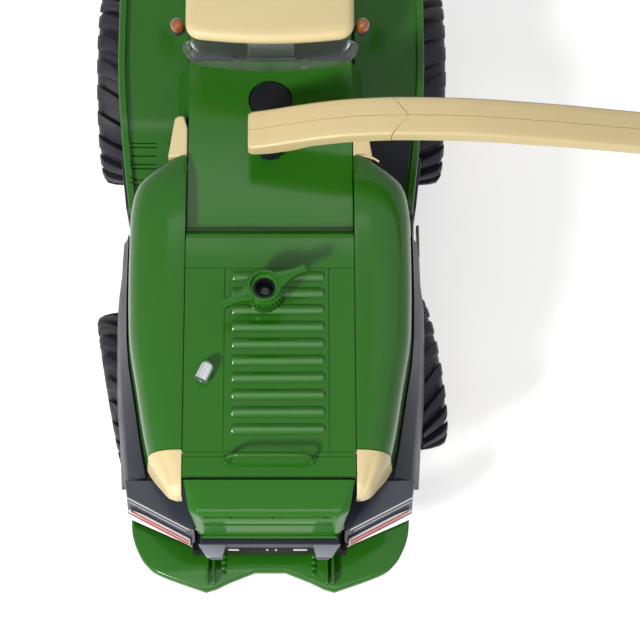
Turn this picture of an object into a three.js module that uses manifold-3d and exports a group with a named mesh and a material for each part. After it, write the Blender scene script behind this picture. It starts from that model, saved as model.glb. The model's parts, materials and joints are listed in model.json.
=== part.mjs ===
// Self-propelled forage harvester, a 1:32 scale model.
// Millimetres, +Z up, +Y forwards, +X to the machine's right.
// Drawn on its own centreline with the rear axle near Y = 0, and moved at the end so that the
// origin is the middle of the footprint.
import * as THREE from "three";
import { mergeVertices } from "three/addons/utils/BufferGeometryUtils.js";
import Module from "manifold-3d";

const wasm = await Module();
wasm.setup();

// ---- driving sizes ----
const GAP = 0.3; // between pieces that rest on each other
const WALL = 1.5; // moulded panel

const FRONT_AXLE_Y = 102.5;
const REAR_AXLE_Y = 3;
const FRONT_TYRE_R = 32;
const FRONT_TYRE_W = 24;
const FRONT_TRACK_OUT = 55.5; // outer face of a front tyre
const REAR_TYRE_R = 25;
const REAR_TYRE_W = 17;
const REAR_TRACK_OUT = 52;
const KINGPIN_X = 28;
const STEER_REST = 10; // degrees the rear wheels stand turned, seen from above
const PIN_R = 2; // steel axle pin
const FRONT_IN = FRONT_TRACK_OUT - FRONT_TYRE_W; // inner face of a front tyre

const FENDER_Z = 2 * FRONT_TYRE_R + 4; // top of the front decks, over the tyres
const DECK_Z = FENDER_Z + 23;
const DECK_HALF = 24.4; // centre deck and centre hood, half width
const DECK_FRONT_Y = 83;
const STRIP_HALF = DECK_HALF + 3.6; // foot of the deck's sloped sides
const STRIP_Z = DECK_Z - 11;
const CREASE_Y = 27;
const HOOD_Z = DECK_Z + 5;
const HOOD_REAR_Z = HOOD_Z - 1;
const HOOD_REAR_Y = -48.4;
const HOOD_FRONT_Y = 51; // nose of the side panels
const STRIP_Y0 = HOOD_FRONT_Y + 14;
const CAP_Y = -40.6; // seam between a side panel and its cap
const CAP_REAR_Y = -53.2;
const SIDE_HALF_W = 41.6; // widest point of the hood
const SIDE_Z = HOOD_Z - 12; // where the side turns down
const SIDE_BOTTOM = HOOD_Z - 24;
const WELL_Y = 70;
const WELL_R = 6.6;

const SPOUT_Y = 53.8;
const SPOUT_W = 12;
const SPOUT_LEN = 118;
const SPOUT_SPLIT = 38;
const SPOUT_WALL = 1.3;
const TILT_Z = DECK_Z + 6.2; // spout's tilting pin, along Y over the swivel

const FENDER_HALF = FRONT_TRACK_OUT - 7.5;
const GLASS_TOP_Z = DECK_Z + 21;
const ROOF_Z = GLASS_TOP_Z + 8;
const ROOF_HALF = 24.5;
const ROOF_REAR_Y = 76.6;
const CAB_HALF = 24.4;
const CAB_REAR_Y = 83.4;
const CAB_FRONT_Y = 122;
const INTAKE_FRONT_Y = 147;

const COLOUR = {
  green: [0x1f6b22, 0.35, 0.0],
  cream: [0xe9d49a, 0.45, 0.0],
  anthracite: [0x33363d, 0.6, 0.0],
  black: [0x14171c, 0.6, 0.0],
  tyre: [0x202124, 0.85, 0.0],
  glass: [0xdfe6e6, 0.1, 0.0],
  grey: [0x8b8d90, 0.6, 0.0],
  silver: [0xc9cbcd, 0.3, 0.8],
  amber: [0xd9700f, 0.3, 0.0],
  red: [0xb01818, 0.3, 0.0],
};

// ---- solids ----
function solidOf(geometry) {
  const bare = geometry.clone();
  bare.deleteAttribute("normal");
  bare.deleteAttribute("uv");
  const merged = mergeVertices(bare, 1e-4);
  const vertProperties = new Float32Array(merged.attributes.position.array);
  const triVerts = new Uint32Array(merged.index.array);
  const made = new wasm.Manifold(new wasm.Mesh({ numProp: 3, vertProperties, triVerts }));
  if (made.volume() > 0) return made;
  return new wasm.Manifold(new wasm.Mesh({ numProp: 3, vertProperties, triVerts: triVerts.reverse() }));
}
const join = (...solids) => solids.reduce((a, b) => a.add(b));
const cut = (solid, ...tools) => tools.reduce((a, b) => a.subtract(b), solid);
const move = (solid, x, y, z) => solid.translate([x, y, z]);
const mirror = (solid) => solid.mirror([1, 0, 0]);
// The same solid on both sides of the centreline.
const both = (solid) => solid.add(mirror(solid));

function box(x0, x1, y0, y1, z0, z1) {
  const g = new THREE.BoxGeometry(x1 - x0, y1 - y0, z1 - z0);
  return solidOf(g.translate((x0 + x1) / 2, (y0 + y1) / 2, (z0 + z1) / 2));
}
// A closed outline of [a, b] points pushed from low to high along Z.
function slab(points, low, high) {
  const shape = new THREE.Shape(points.map(([a, b]) => new THREE.Vector2(a, b)));
  const prism = new THREE.ExtrudeGeometry(shape, { depth: high - low, bevelEnabled: false });
  return solidOf(prism.translate(0, 0, low));
}
// The same with its top edge rounded.
function softSlab(points, low, high, round) {
  const shape = new THREE.Shape(points.map(([a, b]) => new THREE.Vector2(a, b)));
  const g = new THREE.ExtrudeGeometry(shape, {
    depth: high - low,
    bevelThickness: round,
    bevelSize: round,
    bevelOffset: -round,
    bevelSegments: 3,
  });
  return cut(solidOf(g.translate(0, 0, low - round)), box(-200, 200, -200, 200, low - 2 * round, low));
}
// An outline in [y, z], pushed from x0 to x1.
const sideSlab = (points, x0, x1) => slab(points, x0, x1).rotate([90, 0, 0]).rotate([0, 0, 90]);
// A cylinder along X, Y or Z, centred on the point.
function rod(axis, radius, length, [x, y, z], segments = 24) {
  const g = new THREE.CylinderGeometry(radius, radius, length, segments);
  if (axis === "x") g.rotateZ(Math.PI / 2);
  if (axis === "z") g.rotateX(Math.PI / 2);
  return solidOf(g.translate(x, y, z));
}
// A profile of [radius, height] turned round X, growing to +X.
function turned(profile, segments) {
  const points = profile.map(([r, h]) => new THREE.Vector2(r, h));
  return solidOf(new THREE.LatheGeometry(points, segments).rotateZ(-Math.PI / 2));
}
// A plan outline with round corners, whose rear edge (low Y) can bow outwards.
function roundedRect(halfX, y0, y1, radius, bow = 0, steps = 5) {
  const points = [];
  const corners = [
    [halfX - radius, y1 - radius, 0],
    [-halfX + radius, y1 - radius, 90],
    [-halfX + radius, y0 + radius, 180],
    [halfX - radius, y0 + radius, 270],
  ];
  for (const [cx, cy, start] of corners)
    for (let i = 0; i <= steps; i++) {
      const a = THREE.MathUtils.degToRad(start + (90 * i) / steps);
      points.push([cx + radius * Math.cos(a), cy + radius * Math.sin(a)]);
    }
  const flat = halfX - radius;
  const shares = [-0.75, -0.5, -0.25, 0, 0.25, 0.5, 0.75];
  const rear = shares.map((share) => [share * flat, y0 - bow * (1 - share ** 2)]);
  points.splice(3 * (steps + 1), 0, ...rear);
  return points;
}
const planArea = (outline) => Math.abs(THREE.ShapeUtils.area(outline));
// A skin through rings of [x, y, z] points, with flat caps on both ends.
function loft(rings) {
  const n = rings[0].length;
  const index = [];
  for (let r = 0; r + 1 < rings.length; r++)
    for (let i = 0; i < n; i++) {
      const j = (i + 1) % n;
      const a = r * n;
      const b = a + n;
      index.push(a + i, a + j, b + j, a + i, b + j, b + i);
    }
  const flatten = (ring) =>
    [
      [0, 1],
      [0, 2],
      [1, 2],
    ]
      .map(([a, b]) => ring.map((p) => new THREE.Vector2(p[a], p[b])))
      .reduce((best, o) => (planArea(o) > planArea(best) ? o : best));
  const cap = (ring, base, sense) => {
    const outline = flatten(ring);
    const want = Math.sign(THREE.ShapeUtils.area(outline)) * sense;
    for (const [i, j, k] of THREE.ShapeUtils.triangulateShape(outline, [])) {
      const same = Math.sign(THREE.ShapeUtils.area([outline[i], outline[j], outline[k]])) === want;
      index.push(base + i, base + (same ? j : k), base + (same ? k : j));
    }
  };
  cap(rings[0], 0, -1);
  cap(rings[rings.length - 1], (rings.length - 1) * n, 1);
  const g = new THREE.BufferGeometry();
  g.setAttribute("position", new THREE.BufferAttribute(new Float32Array(rings.flat(2)), 3));
  g.setIndex(index);
  return solidOf(g);
}
// A smooth value between [key, value] pairs sorted by rising key.
function along(table, key) {
  const last = table.length - 1;
  if (key <= table[0][0]) return table[0][1];
  if (key >= table[last][0]) return table[last][1];
  const i = table.findIndex((row) => row[0] > key) - 1;
  const [[x0, y0], [x1, y1]] = [table[i], table[i + 1]];
  const slope = (a, b) => (table[b][1] - table[a][1]) / (table[b][0] - table[a][0]);
  const limited = (k) => {
    if (k === 0 || k === last) return slope(k === 0 ? 0 : last - 1, k === 0 ? 1 : last);
    const [a, b] = [slope(k - 1, k), slope(k, k + 1)];
    return a * b <= 0 ? 0 : (2 * a * b) / (a + b);
  };
  const h = x1 - x0;
  const t = (key - x0) / h;
  return (
    y0 * (1 + 2 * t) * (1 - t) ** 2 +
    limited(i) * h * t * (1 - t) ** 2 +
    y1 * t * t * (3 - 2 * t) +
    limited(i + 1) * h * t * t * (t - 1)
  );
}
const steps = (from, to, count) =>
  Array.from({ length: count + 1 }, (_, i) => from + ((to - from) * i) / count);

// ---- the group ----
const harvester = new THREE.Group();
harvester.name = "forage_harvester";
function add(name, solid, colour) {
  const mesh = solid.getMesh();
  const g = new THREE.BufferGeometry();
  g.setAttribute("position", new THREE.BufferAttribute(new Float32Array(mesh.vertProperties), 3));
  g.setIndex(new THREE.BufferAttribute(new Uint32Array(mesh.triVerts), 1));
  g.computeVertexNormals();
  const [color, roughness, metalness] = COLOUR[colour];
  const made = new THREE.Mesh(g, new THREE.MeshStandardMaterial({ color, roughness, metalness }));
  made.name = name;
  harvester.add(made);
}
function addPair(name, rightSolid, colour) {
  add(name + "_right", rightSolid, colour);
  add(name + "_left", mirror(rightSolid), colour);
}

// ---- chassis and axles ----
const RAIL_HALF = 11;
const RAIL_Z0 = 27;
const PLATE_Z0 = 46;
const PLATE_HALF = 22;
const PLATE_Z1 = 58;
const PLATFORM_HALF = FRONT_IN - 5; // under the cab and the inner edges of the front decks
const PLATFORM_Y0 = 54;
const CHASSIS_REAR_Y = -58.6;
const CHASSIS_FRONT_Y = FRONT_AXLE_Y + 21.5;
const FRONT_BEAM_R = 5;
const REAR_BEAM_R = 4;
const frontAxle = [0, FRONT_AXLE_Y, FRONT_TYRE_R];
const rearAxle = [0, REAR_AXLE_Y, REAR_TYRE_R];
const hubEnd = (trackOut) => trackOut - 8; // outer end of an axle pin
add(
  "chassis_frame",
  cut(
    join(
      box(-RAIL_HALF, RAIL_HALF, CHASSIS_REAR_Y, CHASSIS_FRONT_Y, RAIL_Z0, PLATE_Z0 + 1),
      box(-PLATE_HALF, PLATE_HALF, CHASSIS_REAR_Y + 6, PLATFORM_Y0 + 1, PLATE_Z0, PLATE_Z1),
      box(-PLATFORM_HALF, PLATFORM_HALF, PLATFORM_Y0, CHASSIS_FRONT_Y, PLATE_Z0, FENDER_Z - 2 - GAP),
    ),
    rod("x", FRONT_BEAM_R + GAP, 4 * RAIL_HALF, frontAxle),
    rod("x", REAR_BEAM_R + GAP, 4 * RAIL_HALF, rearAxle),
  ),
  "anthracite",
);
add(
  "front_axle",
  join(
    rod("x", FRONT_BEAM_R, 2 * FRONT_IN + 4, frontAxle),
    rod("x", PIN_R, 2 * hubEnd(FRONT_TRACK_OUT), frontAxle),
  ),
  "anthracite",
);
const EYE_R = 4.5;
const EYE_HALF_H = 3; // half height of a knuckle's eye
const EYE_PLATE = 2;
const KING_R = 1.5;
const eyeCentre = [KINGPIN_X, REAR_AXLE_Y, REAR_TYRE_R];
const eyeLevel = EYE_HALF_H + GAP;
const platesZ = [-1, 1].map((s) => REAR_TYRE_R + s * (eyeLevel + EYE_PLATE / 2));
add(
  "rear_axle",
  cut(
    join(
      rod("x", REAR_BEAM_R, 2 * KINGPIN_X - 4, rearAxle),
      both(
        join(
          ...platesZ.map((z) => rod("z", EYE_R, EYE_PLATE, [KINGPIN_X, REAR_AXLE_Y, z])),
          box(
            KINGPIN_X - 9,
            KINGPIN_X - 2,
            REAR_AXLE_Y - 3,
            REAR_AXLE_Y + 3,
            REAR_TYRE_R - eyeLevel - EYE_PLATE,
            REAR_TYRE_R + eyeLevel + EYE_PLATE,
          ),
        ),
      ),
    ),
    both(join(rod("z", EYE_R + 1, 2 * eyeLevel, eyeCentre), rod("z", KING_R + GAP, 20, eyeCentre))),
  ),
  "anthracite",
);

// ---- wheels, each turned about X with the hub face out ----
function tyreSolid(r, w, bead) {
  const h = w / 2;
  const half = [
    [bead + 1, h],
    [r - 4, h],
    [r - 1.4, h - 1.2],
    [r, h - 4],
  ];
  const mirrored = half.map(([a, b]) => [a, -b]).reverse();
  const loop = [[bead, -h + 1.2], ...mirrored.reverse(), ...half.reverse(), [bead, h - 1.2]];
  return turned([...loop, loop[0]], 48);
}
// A dished rim with a blind bore for the pin.
function rimSolid(w, bead) {
  const h = w / 2;
  const edge = bead - GAP;
  const bore = PIN_R + GAP;
  const hub = 6;
  return turned(
    [
      [bore, -h + 3],
      [hub, -h + 3],
      [hub + 1, 0],
      [edge - 2, -1],
      [edge - 1.6, -h + 1],
      [edge, -h + 1],
      [edge, h - 1],
      [edge - 1.6, h - 1],
      [edge - 2.2, 2],
      [hub + 2, 1.5],
      [hub, h - 4],
      [0, h - 4],
      [0, h - 7],
      [bore, h - 7],
      [bore, -h + 3],
    ],
    48,
  );
}
const FRONT_BEAD = FRONT_TYRE_R * 0.6;
const REAR_BEAD = REAR_TYRE_R * 0.56;
const frontWheelX = FRONT_TRACK_OUT - FRONT_TYRE_W / 2;
const onFrontHub = (solid) => move(solid, frontWheelX, FRONT_AXLE_Y, FRONT_TYRE_R);
addPair("front_tyre", onFrontHub(tyreSolid(FRONT_TYRE_R, FRONT_TYRE_W, FRONT_BEAD)), "tyre");
addPair("front_rim", onFrontHub(rimSolid(FRONT_TYRE_W, FRONT_BEAD)), "cream");

// Rear wheels and knuckles are drawn straight, then steered about their kingpins.
const rearWheelX = REAR_TRACK_OUT - REAR_TYRE_W / 2;
const onRearHub = (solid) => move(solid, rearWheelX, REAR_AXLE_Y, REAR_TYRE_R);
function steered(solid, side) {
  const about = side * KINGPIN_X;
  return move(move(solid, -about, -REAR_AXLE_Y, 0).rotate([0, 0, STEER_REST]), about, REAR_AXLE_Y, 0);
}
const pinLength = hubEnd(REAR_TRACK_OUT) - KINGPIN_X;
const rearPieces = [
  [
    "steering_knuckle",
    join(
      rod("z", EYE_R - 0.5, 2 * EYE_HALF_H, eyeCentre),
      rod("z", KING_R, 2 * (eyeLevel + EYE_PLATE), eyeCentre),
      rod("x", PIN_R, pinLength, [KINGPIN_X + pinLength / 2, REAR_AXLE_Y, REAR_TYRE_R]),
    ),
    "anthracite",
  ],
  ["rear_tyre", onRearHub(tyreSolid(REAR_TYRE_R, REAR_TYRE_W, REAR_BEAD)), "tyre"],
  ["rear_rim", onRearHub(rimSolid(REAR_TYRE_W, REAR_BEAD)), "cream"],
];
for (const [name, solid, colour] of rearPieces) {
  add(name + "_right", steered(solid, 1), colour);
  add(name + "_left", steered(mirror(solid), -1), colour);
}

// ---- hood: half widths of the side panels, from the cap's end to the nose ----
const hoodHalf = (share) => DECK_HALF + share * (SIDE_HALF_W - DECK_HALF);
const SIDE_HALF = [
  [CAP_REAR_Y, hoodHalf(0.28)],
  [CAP_REAR_Y + 1, hoodHalf(0.37)],
  [CAP_REAR_Y + 5, hoodHalf(0.5)],
  [CAP_Y, hoodHalf(0.62)],
  [-22, hoodHalf(0.802)],
  [-1, hoodHalf(0.977)],
  [18, hoodHalf(1)],
  [32, hoodHalf(0.994)],
  [HOOD_FRONT_Y - 12, hoodHalf(0.953)],
  [HOOD_FRONT_Y - 8, hoodHalf(0.884)],
  [HOOD_FRONT_Y - 4, hoodHalf(0.686)],
  [HOOD_FRONT_Y - 1.2, hoodHalf(0.453)],
  [HOOD_FRONT_Y, hoodHalf(0.302)],
];
const SIDE_TOP = [
  [CAP_REAR_Y, HOOD_REAR_Z - 2.6],
  [CAP_REAR_Y + 3, HOOD_REAR_Z - 0.9],
  [CAP_Y, HOOD_REAR_Z],
  [CREASE_Y, HOOD_Z],
  [HOOD_FRONT_Y - 12, HOOD_Z - 0.6],
  [HOOD_FRONT_Y, HOOD_Z - 3.6],
];
const SIDE_LOW = [
  [CAP_REAR_Y, HOOD_Z - 10],
  [CAP_Y, SIDE_BOTTOM + 2],
  [CAP_Y + 6, SIDE_BOTTOM],
];
const CURVE_STEPS = 8;
function hoodRing(y) {
  const w = along(SIDE_HALF, y);
  const top = along(SIDE_TOP, y);
  const low = along(SIDE_LOW, y);
  const shoulder = Math.max(SIDE_Z, low + 2);
  const inner = DECK_HALF + GAP;
  const curve = (inset) => [
    ...steps(0, Math.PI / 2, CURVE_STEPS).map((a) => [
      inner + (w - inset - inner) * Math.sin(a) ** 0.8,
      shoulder + (top - inset - shoulder) * Math.max(Math.cos(a), 0) ** 0.8,
    ]),
    [w - inset + (shoulder - low) / 12, low],
  ];
  return [...curve(0), ...curve(WALL).reverse()].map(([x, z]) => [x, y, z]);
}
const sideStations = [
  ...steps(CAP_Y + GAP, 32, 6),
  ...[12, 8, 5.6, 4, 2.6, 1.2, 0].map((back) => HOOD_FRONT_Y - back),
];
addPair("hood_side", loft(sideStations.map(hoodRing)), "green");
addPair("hood_cap", loft(steps(CAP_Y, CAP_REAR_Y, 4).map(hoodRing)), "cream");
// Wedge in front of each side panel, wider at its rear.
const BLOCK_FRONT_Y = HOOD_FRONT_Y + 13.6;
addPair(
  "hood_block",
  softSlab(
    [
      [DECK_HALF + GAP, HOOD_FRONT_Y + GAP],
      [DECK_HALF + 6, HOOD_FRONT_Y + GAP],
      [DECK_HALF + 4.2, BLOCK_FRONT_Y - 1],
      [DECK_HALF + 3.2, BLOCK_FRONT_Y],
      [DECK_HALF + 1.4, BLOCK_FRONT_Y],
      [DECK_HALF + GAP, BLOCK_FRONT_Y - 4],
    ],
    SIDE_BOTTOM + 2,
    DECK_Z + 0.4,
    0.6,
  ),
  "cream",
);
const PANEL = 2; // thickness of the centre panels
const LEDGE = 2.2; // strip under the seams with the side panels
const ledgeUnder = (y0, z0, y1, z1) =>
  sideSlab(
    [
      [y0, z0 - PANEL + 0.1],
      [y1, z1 - PANEL + 0.1],
      [y1, z1 - PANEL - 0.8],
      [y0, z0 - PANEL - 0.8],
    ],
    DECK_HALF - 3,
    DECK_HALF + LEDGE,
  );
add(
  "hood_centre",
  join(
    sideSlab(
      [
        [CREASE_Y, DECK_Z + 1.8],
        [CREASE_Y - 2.4, HOOD_Z - 0.4],
        [CREASE_Y - 4, HOOD_Z],
        [HOOD_REAR_Y, HOOD_REAR_Z],
        [HOOD_REAR_Y, HOOD_REAR_Z - PANEL],
        [CREASE_Y - 4, HOOD_Z - PANEL],
        [CREASE_Y, DECK_Z - 0.6],
      ],
      -DECK_HALF,
      DECK_HALF,
    ),
    both(ledgeUnder(CREASE_Y - 4, HOOD_Z, CAP_Y, HOOD_REAR_Z)),
  ),
  "green",
);
const deckRing = (y) =>
  [
    [STRIP_HALF, STRIP_Z],
    [DECK_HALF, DECK_Z],
    [-DECK_HALF, DECK_Z],
    [-STRIP_HALF, STRIP_Z],
    [-STRIP_HALF + WALL, STRIP_Z],
    [-DECK_HALF + WALL, DECK_Z - PANEL],
    [DECK_HALF - WALL, DECK_Z - PANEL],
    [STRIP_HALF - WALL, STRIP_Z],
  ].map(([x, z]) => [x, y, z]);
add(
  "centre_deck",
  cut(
    join(
      box(-DECK_HALF, DECK_HALF, CREASE_Y + GAP, STRIP_Y0 + 1, DECK_Z - PANEL, DECK_Z),
      loft([STRIP_Y0, DECK_FRONT_Y].map(deckRing)),
      both(ledgeUnder(HOOD_FRONT_Y - 3, DECK_Z, CREASE_Y + GAP, DECK_Z)),
    ),
    rod("z", WELL_R, 20, [0, WELL_Y, DECK_Z], 40),
    rod("z", PIN_R + GAP, 20, [0, SPOUT_Y, DECK_Z]),
  ),
  "green",
);

// ---- inside the hood and under the deck ----
const BLOCK_HALF = 21;
const BLOCK_FRONT = CREASE_Y - 5;
const TAIL_TOP_Z = HOOD_REAR_Z - 0.8;
const TAIL_BEND_Y = HOOD_REAR_Y - 9.4;
const TAIL_LOW_Y = HOOD_REAR_Y - 13.2;
const TAIL_LOW_Z = TAIL_TOP_Z - 16.2;
add(
  "engine_block",
  sideSlab(
    [
      [TAIL_BEND_Y + 1, PLATE_Z1 + GAP],
      [TAIL_BEND_Y + 1, TAIL_TOP_Z - 4.6],
      [HOOD_REAR_Y - 0.6, TAIL_TOP_Z - PANEL - 0.4],
      [HOOD_REAR_Y + 1, HOOD_REAR_Z - PANEL - GAP],
      [BLOCK_FRONT, HOOD_Z - PANEL - GAP],
      [BLOCK_FRONT, PLATE_Z1 + GAP],
    ],
    -BLOCK_HALF,
    BLOCK_HALF,
  ),
  "black",
);
add(
  "crop_duct",
  cut(
    join(
      box(-BLOCK_HALF, BLOCK_HALF, BLOCK_FRONT + GAP, DECK_FRONT_Y, FENDER_Z - 2, DECK_Z - PANEL - GAP),
      box(-BLOCK_HALF, BLOCK_HALF, BLOCK_FRONT + GAP, PLATFORM_Y0 - GAP, PLATE_Z1 + GAP, FENDER_Z),
    ),
    rod("z", PIN_R + GAP, 14, [0, SPOUT_Y, DECK_Z - PANEL]),
  ),
  "black",
);
add("well_disc", rod("z", WELL_R - GAP, 1.6, [0, WELL_Y, DECK_Z - 1.2], 40), "black");

// ---- rear fenders: outer half widths ----
const FENDER_OUT = [
  [-43, SIDE_HALF_W + 0.9],
  [-25, SIDE_HALF_W + 2.4],
  [-10, SIDE_HALF_W + 3.8],
  [12, SIDE_HALF_W + 4.4],
  [28, SIDE_HALF_W + 3],
  [34, SIDE_HALF_W + 1.6],
];
const FENDER_FLARE = 1.5;
const FENDER_LIP = [
  [-43, 60],
  [-22, 52],
  [34, 50],
];
const ARCH_R = REAR_TYRE_R + 5.5;
const FENDER_REAR_Y = -42.6;
function fenderRing(y) {
  const w = along(SIDE_HALF, y) + 1.4;
  const out = Math.max(along(FENDER_OUT, y), w + 2);
  const lip = out + FENDER_FLARE;
  const lipZ = along(FENDER_LIP, y);
  return [
    [w, SIDE_BOTTOM + 2],
    [out - 1.2, SIDE_BOTTOM - 3.4],
    [out, SIDE_BOTTOM - 7],
    [lip, lipZ],
    [lip - WALL, lipZ],
    [out - WALL, SIDE_BOTTOM - 8],
    [w - 3, SIDE_BOTTOM - 4],
    [w - 3, SIDE_BOTTOM - 1],
    [w, SIDE_BOTTOM - 1],
  ].map(([x, z]) => [x, y, z]);
}
addPair(
  "rear_fender",
  cut(
    loft(steps(FENDER_REAR_Y, 34, 9).map(fenderRing)),
    rod("x", ARCH_R, 200, [0, REAR_AXLE_Y, REAR_TYRE_R], 48),
  ),
  "anthracite",
);

// ---- rear corners with their sloped light strips ----
const CORNER_Z1 = SIDE_BOTTOM - GAP;
const CORNER_Z0 = 64;
const CORNER_IN = BLOCK_HALF + 0.6;
const CORNER_OUT = SIDE_HALF_W + 0.6;
const cornerFront = FENDER_REAR_Y - GAP;
const upper = {
  out: new THREE.Vector3(CORNER_OUT - 0.8, -48, CORNER_Z1),
  in: new THREE.Vector3(CORNER_IN, -58.4, CORNER_Z1),
};
const lower = {
  out: new THREE.Vector3(CORNER_OUT - 0.6, -50.6, CORNER_Z0),
  in: new THREE.Vector3(CORNER_IN, -61.2, CORNER_Z0),
};
addPair(
  "rear_corner",
  loft(
    [upper, lower].map((edge) => [
      [CORNER_IN, cornerFront, edge.in.z],
      [CORNER_OUT, cornerFront, edge.in.z],
      edge.out.toArray(),
      edge.in.toArray(),
    ]),
  ),
  "anthracite",
);
const outward = new THREE.Vector3()
  .crossVectors(upper.in.clone().sub(upper.out), lower.out.clone().sub(upper.out))
  .normalize();
if (outward.y > 0) outward.negate();
// A point of the sloped rear face: across from the outer end to the inner, down from the top, off
// the surface.
const onFace = (across, down, off) =>
  upper.out
    .clone()
    .lerp(upper.in, across)
    .lerp(lower.out.clone().lerp(lower.in, across), down)
    .addScaledVector(outward, off)
    .toArray();
const LIGHT_THICK = 0.9;
const lightRing = (across) => [
  onFace(across, 0.42, GAP),
  onFace(across, 0.88, GAP),
  onFace(across, 0.88, GAP + LIGHT_THICK),
  onFace(across, 0.42, GAP + LIGHT_THICK),
];
addPair("tail_light", loft([0.03, 0.97].map(lightRing)), "red");

// ---- tail panel, crossbar and counterweight ----
const tailStations = [
  // [outer y, outer z, inner y, inner z, half width]
  [HOOD_REAR_Y - 0.8, TAIL_TOP_Z, HOOD_REAR_Y - 0.8, TAIL_TOP_Z - PANEL, DECK_HALF - 0.2],
  [TAIL_BEND_Y, TAIL_TOP_Z - 1.8, TAIL_BEND_Y + 0.6, TAIL_TOP_Z - 3.6, DECK_HALF - 1.8],
  [TAIL_BEND_Y - 0.9, TAIL_TOP_Z - 2.4, TAIL_BEND_Y + 0.4, TAIL_TOP_Z - 4, DECK_HALF - 2],
  [TAIL_BEND_Y - 1.5, TAIL_TOP_Z - 3.6, TAIL_BEND_Y + 0.2, TAIL_TOP_Z - 4.4, DECK_HALF - 2.2],
  [TAIL_LOW_Y, TAIL_LOW_Z, TAIL_LOW_Y + 1.7, TAIL_LOW_Z, DECK_HALF - 4],
];
add(
  "tail_panel",
  loft(
    tailStations.map(([y, z, yIn, zIn, w]) => [
      [-w, y, z],
      [w, y, z],
      [w, yIn, zIn],
      [-w, yIn, zIn],
    ]),
  ),
  "green",
);
const BAR_HALF = 19.8;
const BAR_Z1 = TAIL_LOW_Z - GAP;
const BAR_REAR_Y = TAIL_LOW_Y - 2;
add(
  "rear_crossbar",
  join(
    box(-BAR_HALF, BAR_HALF, BAR_REAR_Y, TAIL_LOW_Y + 1, BAR_Z1 - 4, BAR_Z1),
    both(
      slab(
        [
          [BAR_HALF - 0.4, BAR_REAR_Y + 0.5],
          [BAR_HALF - 7.6, BAR_REAR_Y + 0.5],
          [BAR_HALF - 6.4, BAR_REAR_Y - 3.8],
          [BAR_HALF - 2.8, BAR_REAR_Y - 3.8],
        ],
        BAR_Z1 - 3.4,
        BAR_Z1 - 0.6,
      ),
    ),
  ),
  "anthracite",
);
add(
  "rear_valance",
  box(-CORNER_IN + GAP, CORNER_IN - GAP, TAIL_LOW_Y - 0.8, TAIL_BEND_Y + 1 - GAP, 54, BAR_Z1 - 4 - GAP),
  "black",
);
const WEIGHT_Z0 = 40;
const WEIGHT_Z1 = 50;
const NOTCH_HALF = 19;
const weightHalf = [
  [SIDE_HALF_W, -48.8],
  [SIDE_HALF_W - 0.5, -54],
  [SIDE_HALF_W - 2.3, -59],
  [SIDE_HALF_W - 4.8, -62.8],
  [SIDE_HALF_W - 9.2, -66],
  [NOTCH_HALF, -71],
  [NOTCH_HALF - 3, -70],
  [NOTCH_HALF - 7, -68],
  [4.5, -65],
];
const weightFront = CHASSIS_REAR_Y - GAP;
add(
  "counterweight",
  join(
    softSlab(
      [
        ...weightHalf,
        ...weightHalf.map(([x, y]) => [-x, y]).reverse(),
        [-NOTCH_HALF, weightFront],
        [NOTCH_HALF, weightFront],
      ],
      WEIGHT_Z0,
      WEIGHT_Z1,
      0.8,
    ),
    both(
      join(
        box(NOTCH_HALF - 0.9, NOTCH_HALF, -69.6, weightFront - 1, WEIGHT_Z1 - 1, WEIGHT_Z1 + 3),
        box(NOTCH_HALF - 2.8, NOTCH_HALF - 1.9, -69, weightFront - 1, WEIGHT_Z1 - 1, WEIGHT_Z1 + 3),
      ),
    ),
  ),
  "green",
);

// ---- front decks over the wheels ----
const DECK_IN = PLATFORM_HALF - 0.5;
const SLOPE_Y = 75.4; // the deck falls towards the rear from here
const FRONT_DECK_Y0 = 46;
const FRONT_DECK_Y1 = FRONT_AXLE_Y + 26;
const RIM_HALF = [
  [FRONT_DECK_Y0, FENDER_HALF - 4.2],
  [70, FENDER_HALF - 1.6],
  [95, FENDER_HALF],
  [FRONT_DECK_Y1, FENDER_HALF],
];
const DECK_TOP = [
  [FRONT_DECK_Y0, FENDER_Z - 5],
  [SLOPE_Y, FENDER_Z],
  [FRONT_DECK_Y1, FENDER_Z],
];
function frontDeckRing(y) {
  const out = along(RIM_HALF, y);
  const z = along(DECK_TOP, y);
  return [
    [DECK_IN, z],
    [out - 2.4, z],
    [out - 2.2, z + 2],
    [out - 0.4, z + 2],
    [out, z + 1.4],
    [out, z - 4],
    [out - 1.2, z - 4],
    [out - 1.2, z - 2],
    [DECK_IN, z - 2],
  ].map(([x, h]) => [x, y, h]);
}
const frontDeck = loft([...steps(FRONT_DECK_Y0, SLOPE_Y, 4), 85, 95, FRONT_DECK_Y1].map(frontDeckRing));
const platformRoom = box(0, PLATFORM_HALF + GAP, FRONT_DECK_Y0 - 1, SLOPE_Y, 0, DECK_Z + 9);
addPair("front_deck", cut(frontDeck, platformRoom), "green");
const COVER_Y0 = 51;
const COVER_Y1 = 74;
const coverRing = (y) => {
  const z = along(DECK_TOP, y) + GAP;
  const out = along(RIM_HALF, y) - 3;
  return [
    [DECK_IN + 5, z],
    [out, z],
    [out, z + 1],
    [DECK_IN + 5, z + 1],
  ].map(([x, h]) => [x, y, h]);
};
add("deck_cover_right", loft(steps(COVER_Y0, COVER_Y1, 3).map(coverRing)), "anthracite");
const SKIRT_Y0 = 48.4;
const SKIRT_Z0 = 36;
const SKIRT_WALL = 1.8;
const SKIRT_Y1 = FRONT_AXLE_Y - FRONT_TYRE_R - 4.5;
const skirtRing = (y) => {
  const out = along(RIM_HALF, y) + 1;
  return [
    [out - SKIRT_WALL, SKIRT_Z0],
    [out, SKIRT_Z0],
    [out, FENDER_Z - 10],
    [out - SKIRT_WALL, FENDER_Z - 9.4],
  ].map(([x, z]) => [x, y, z]);
};
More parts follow.
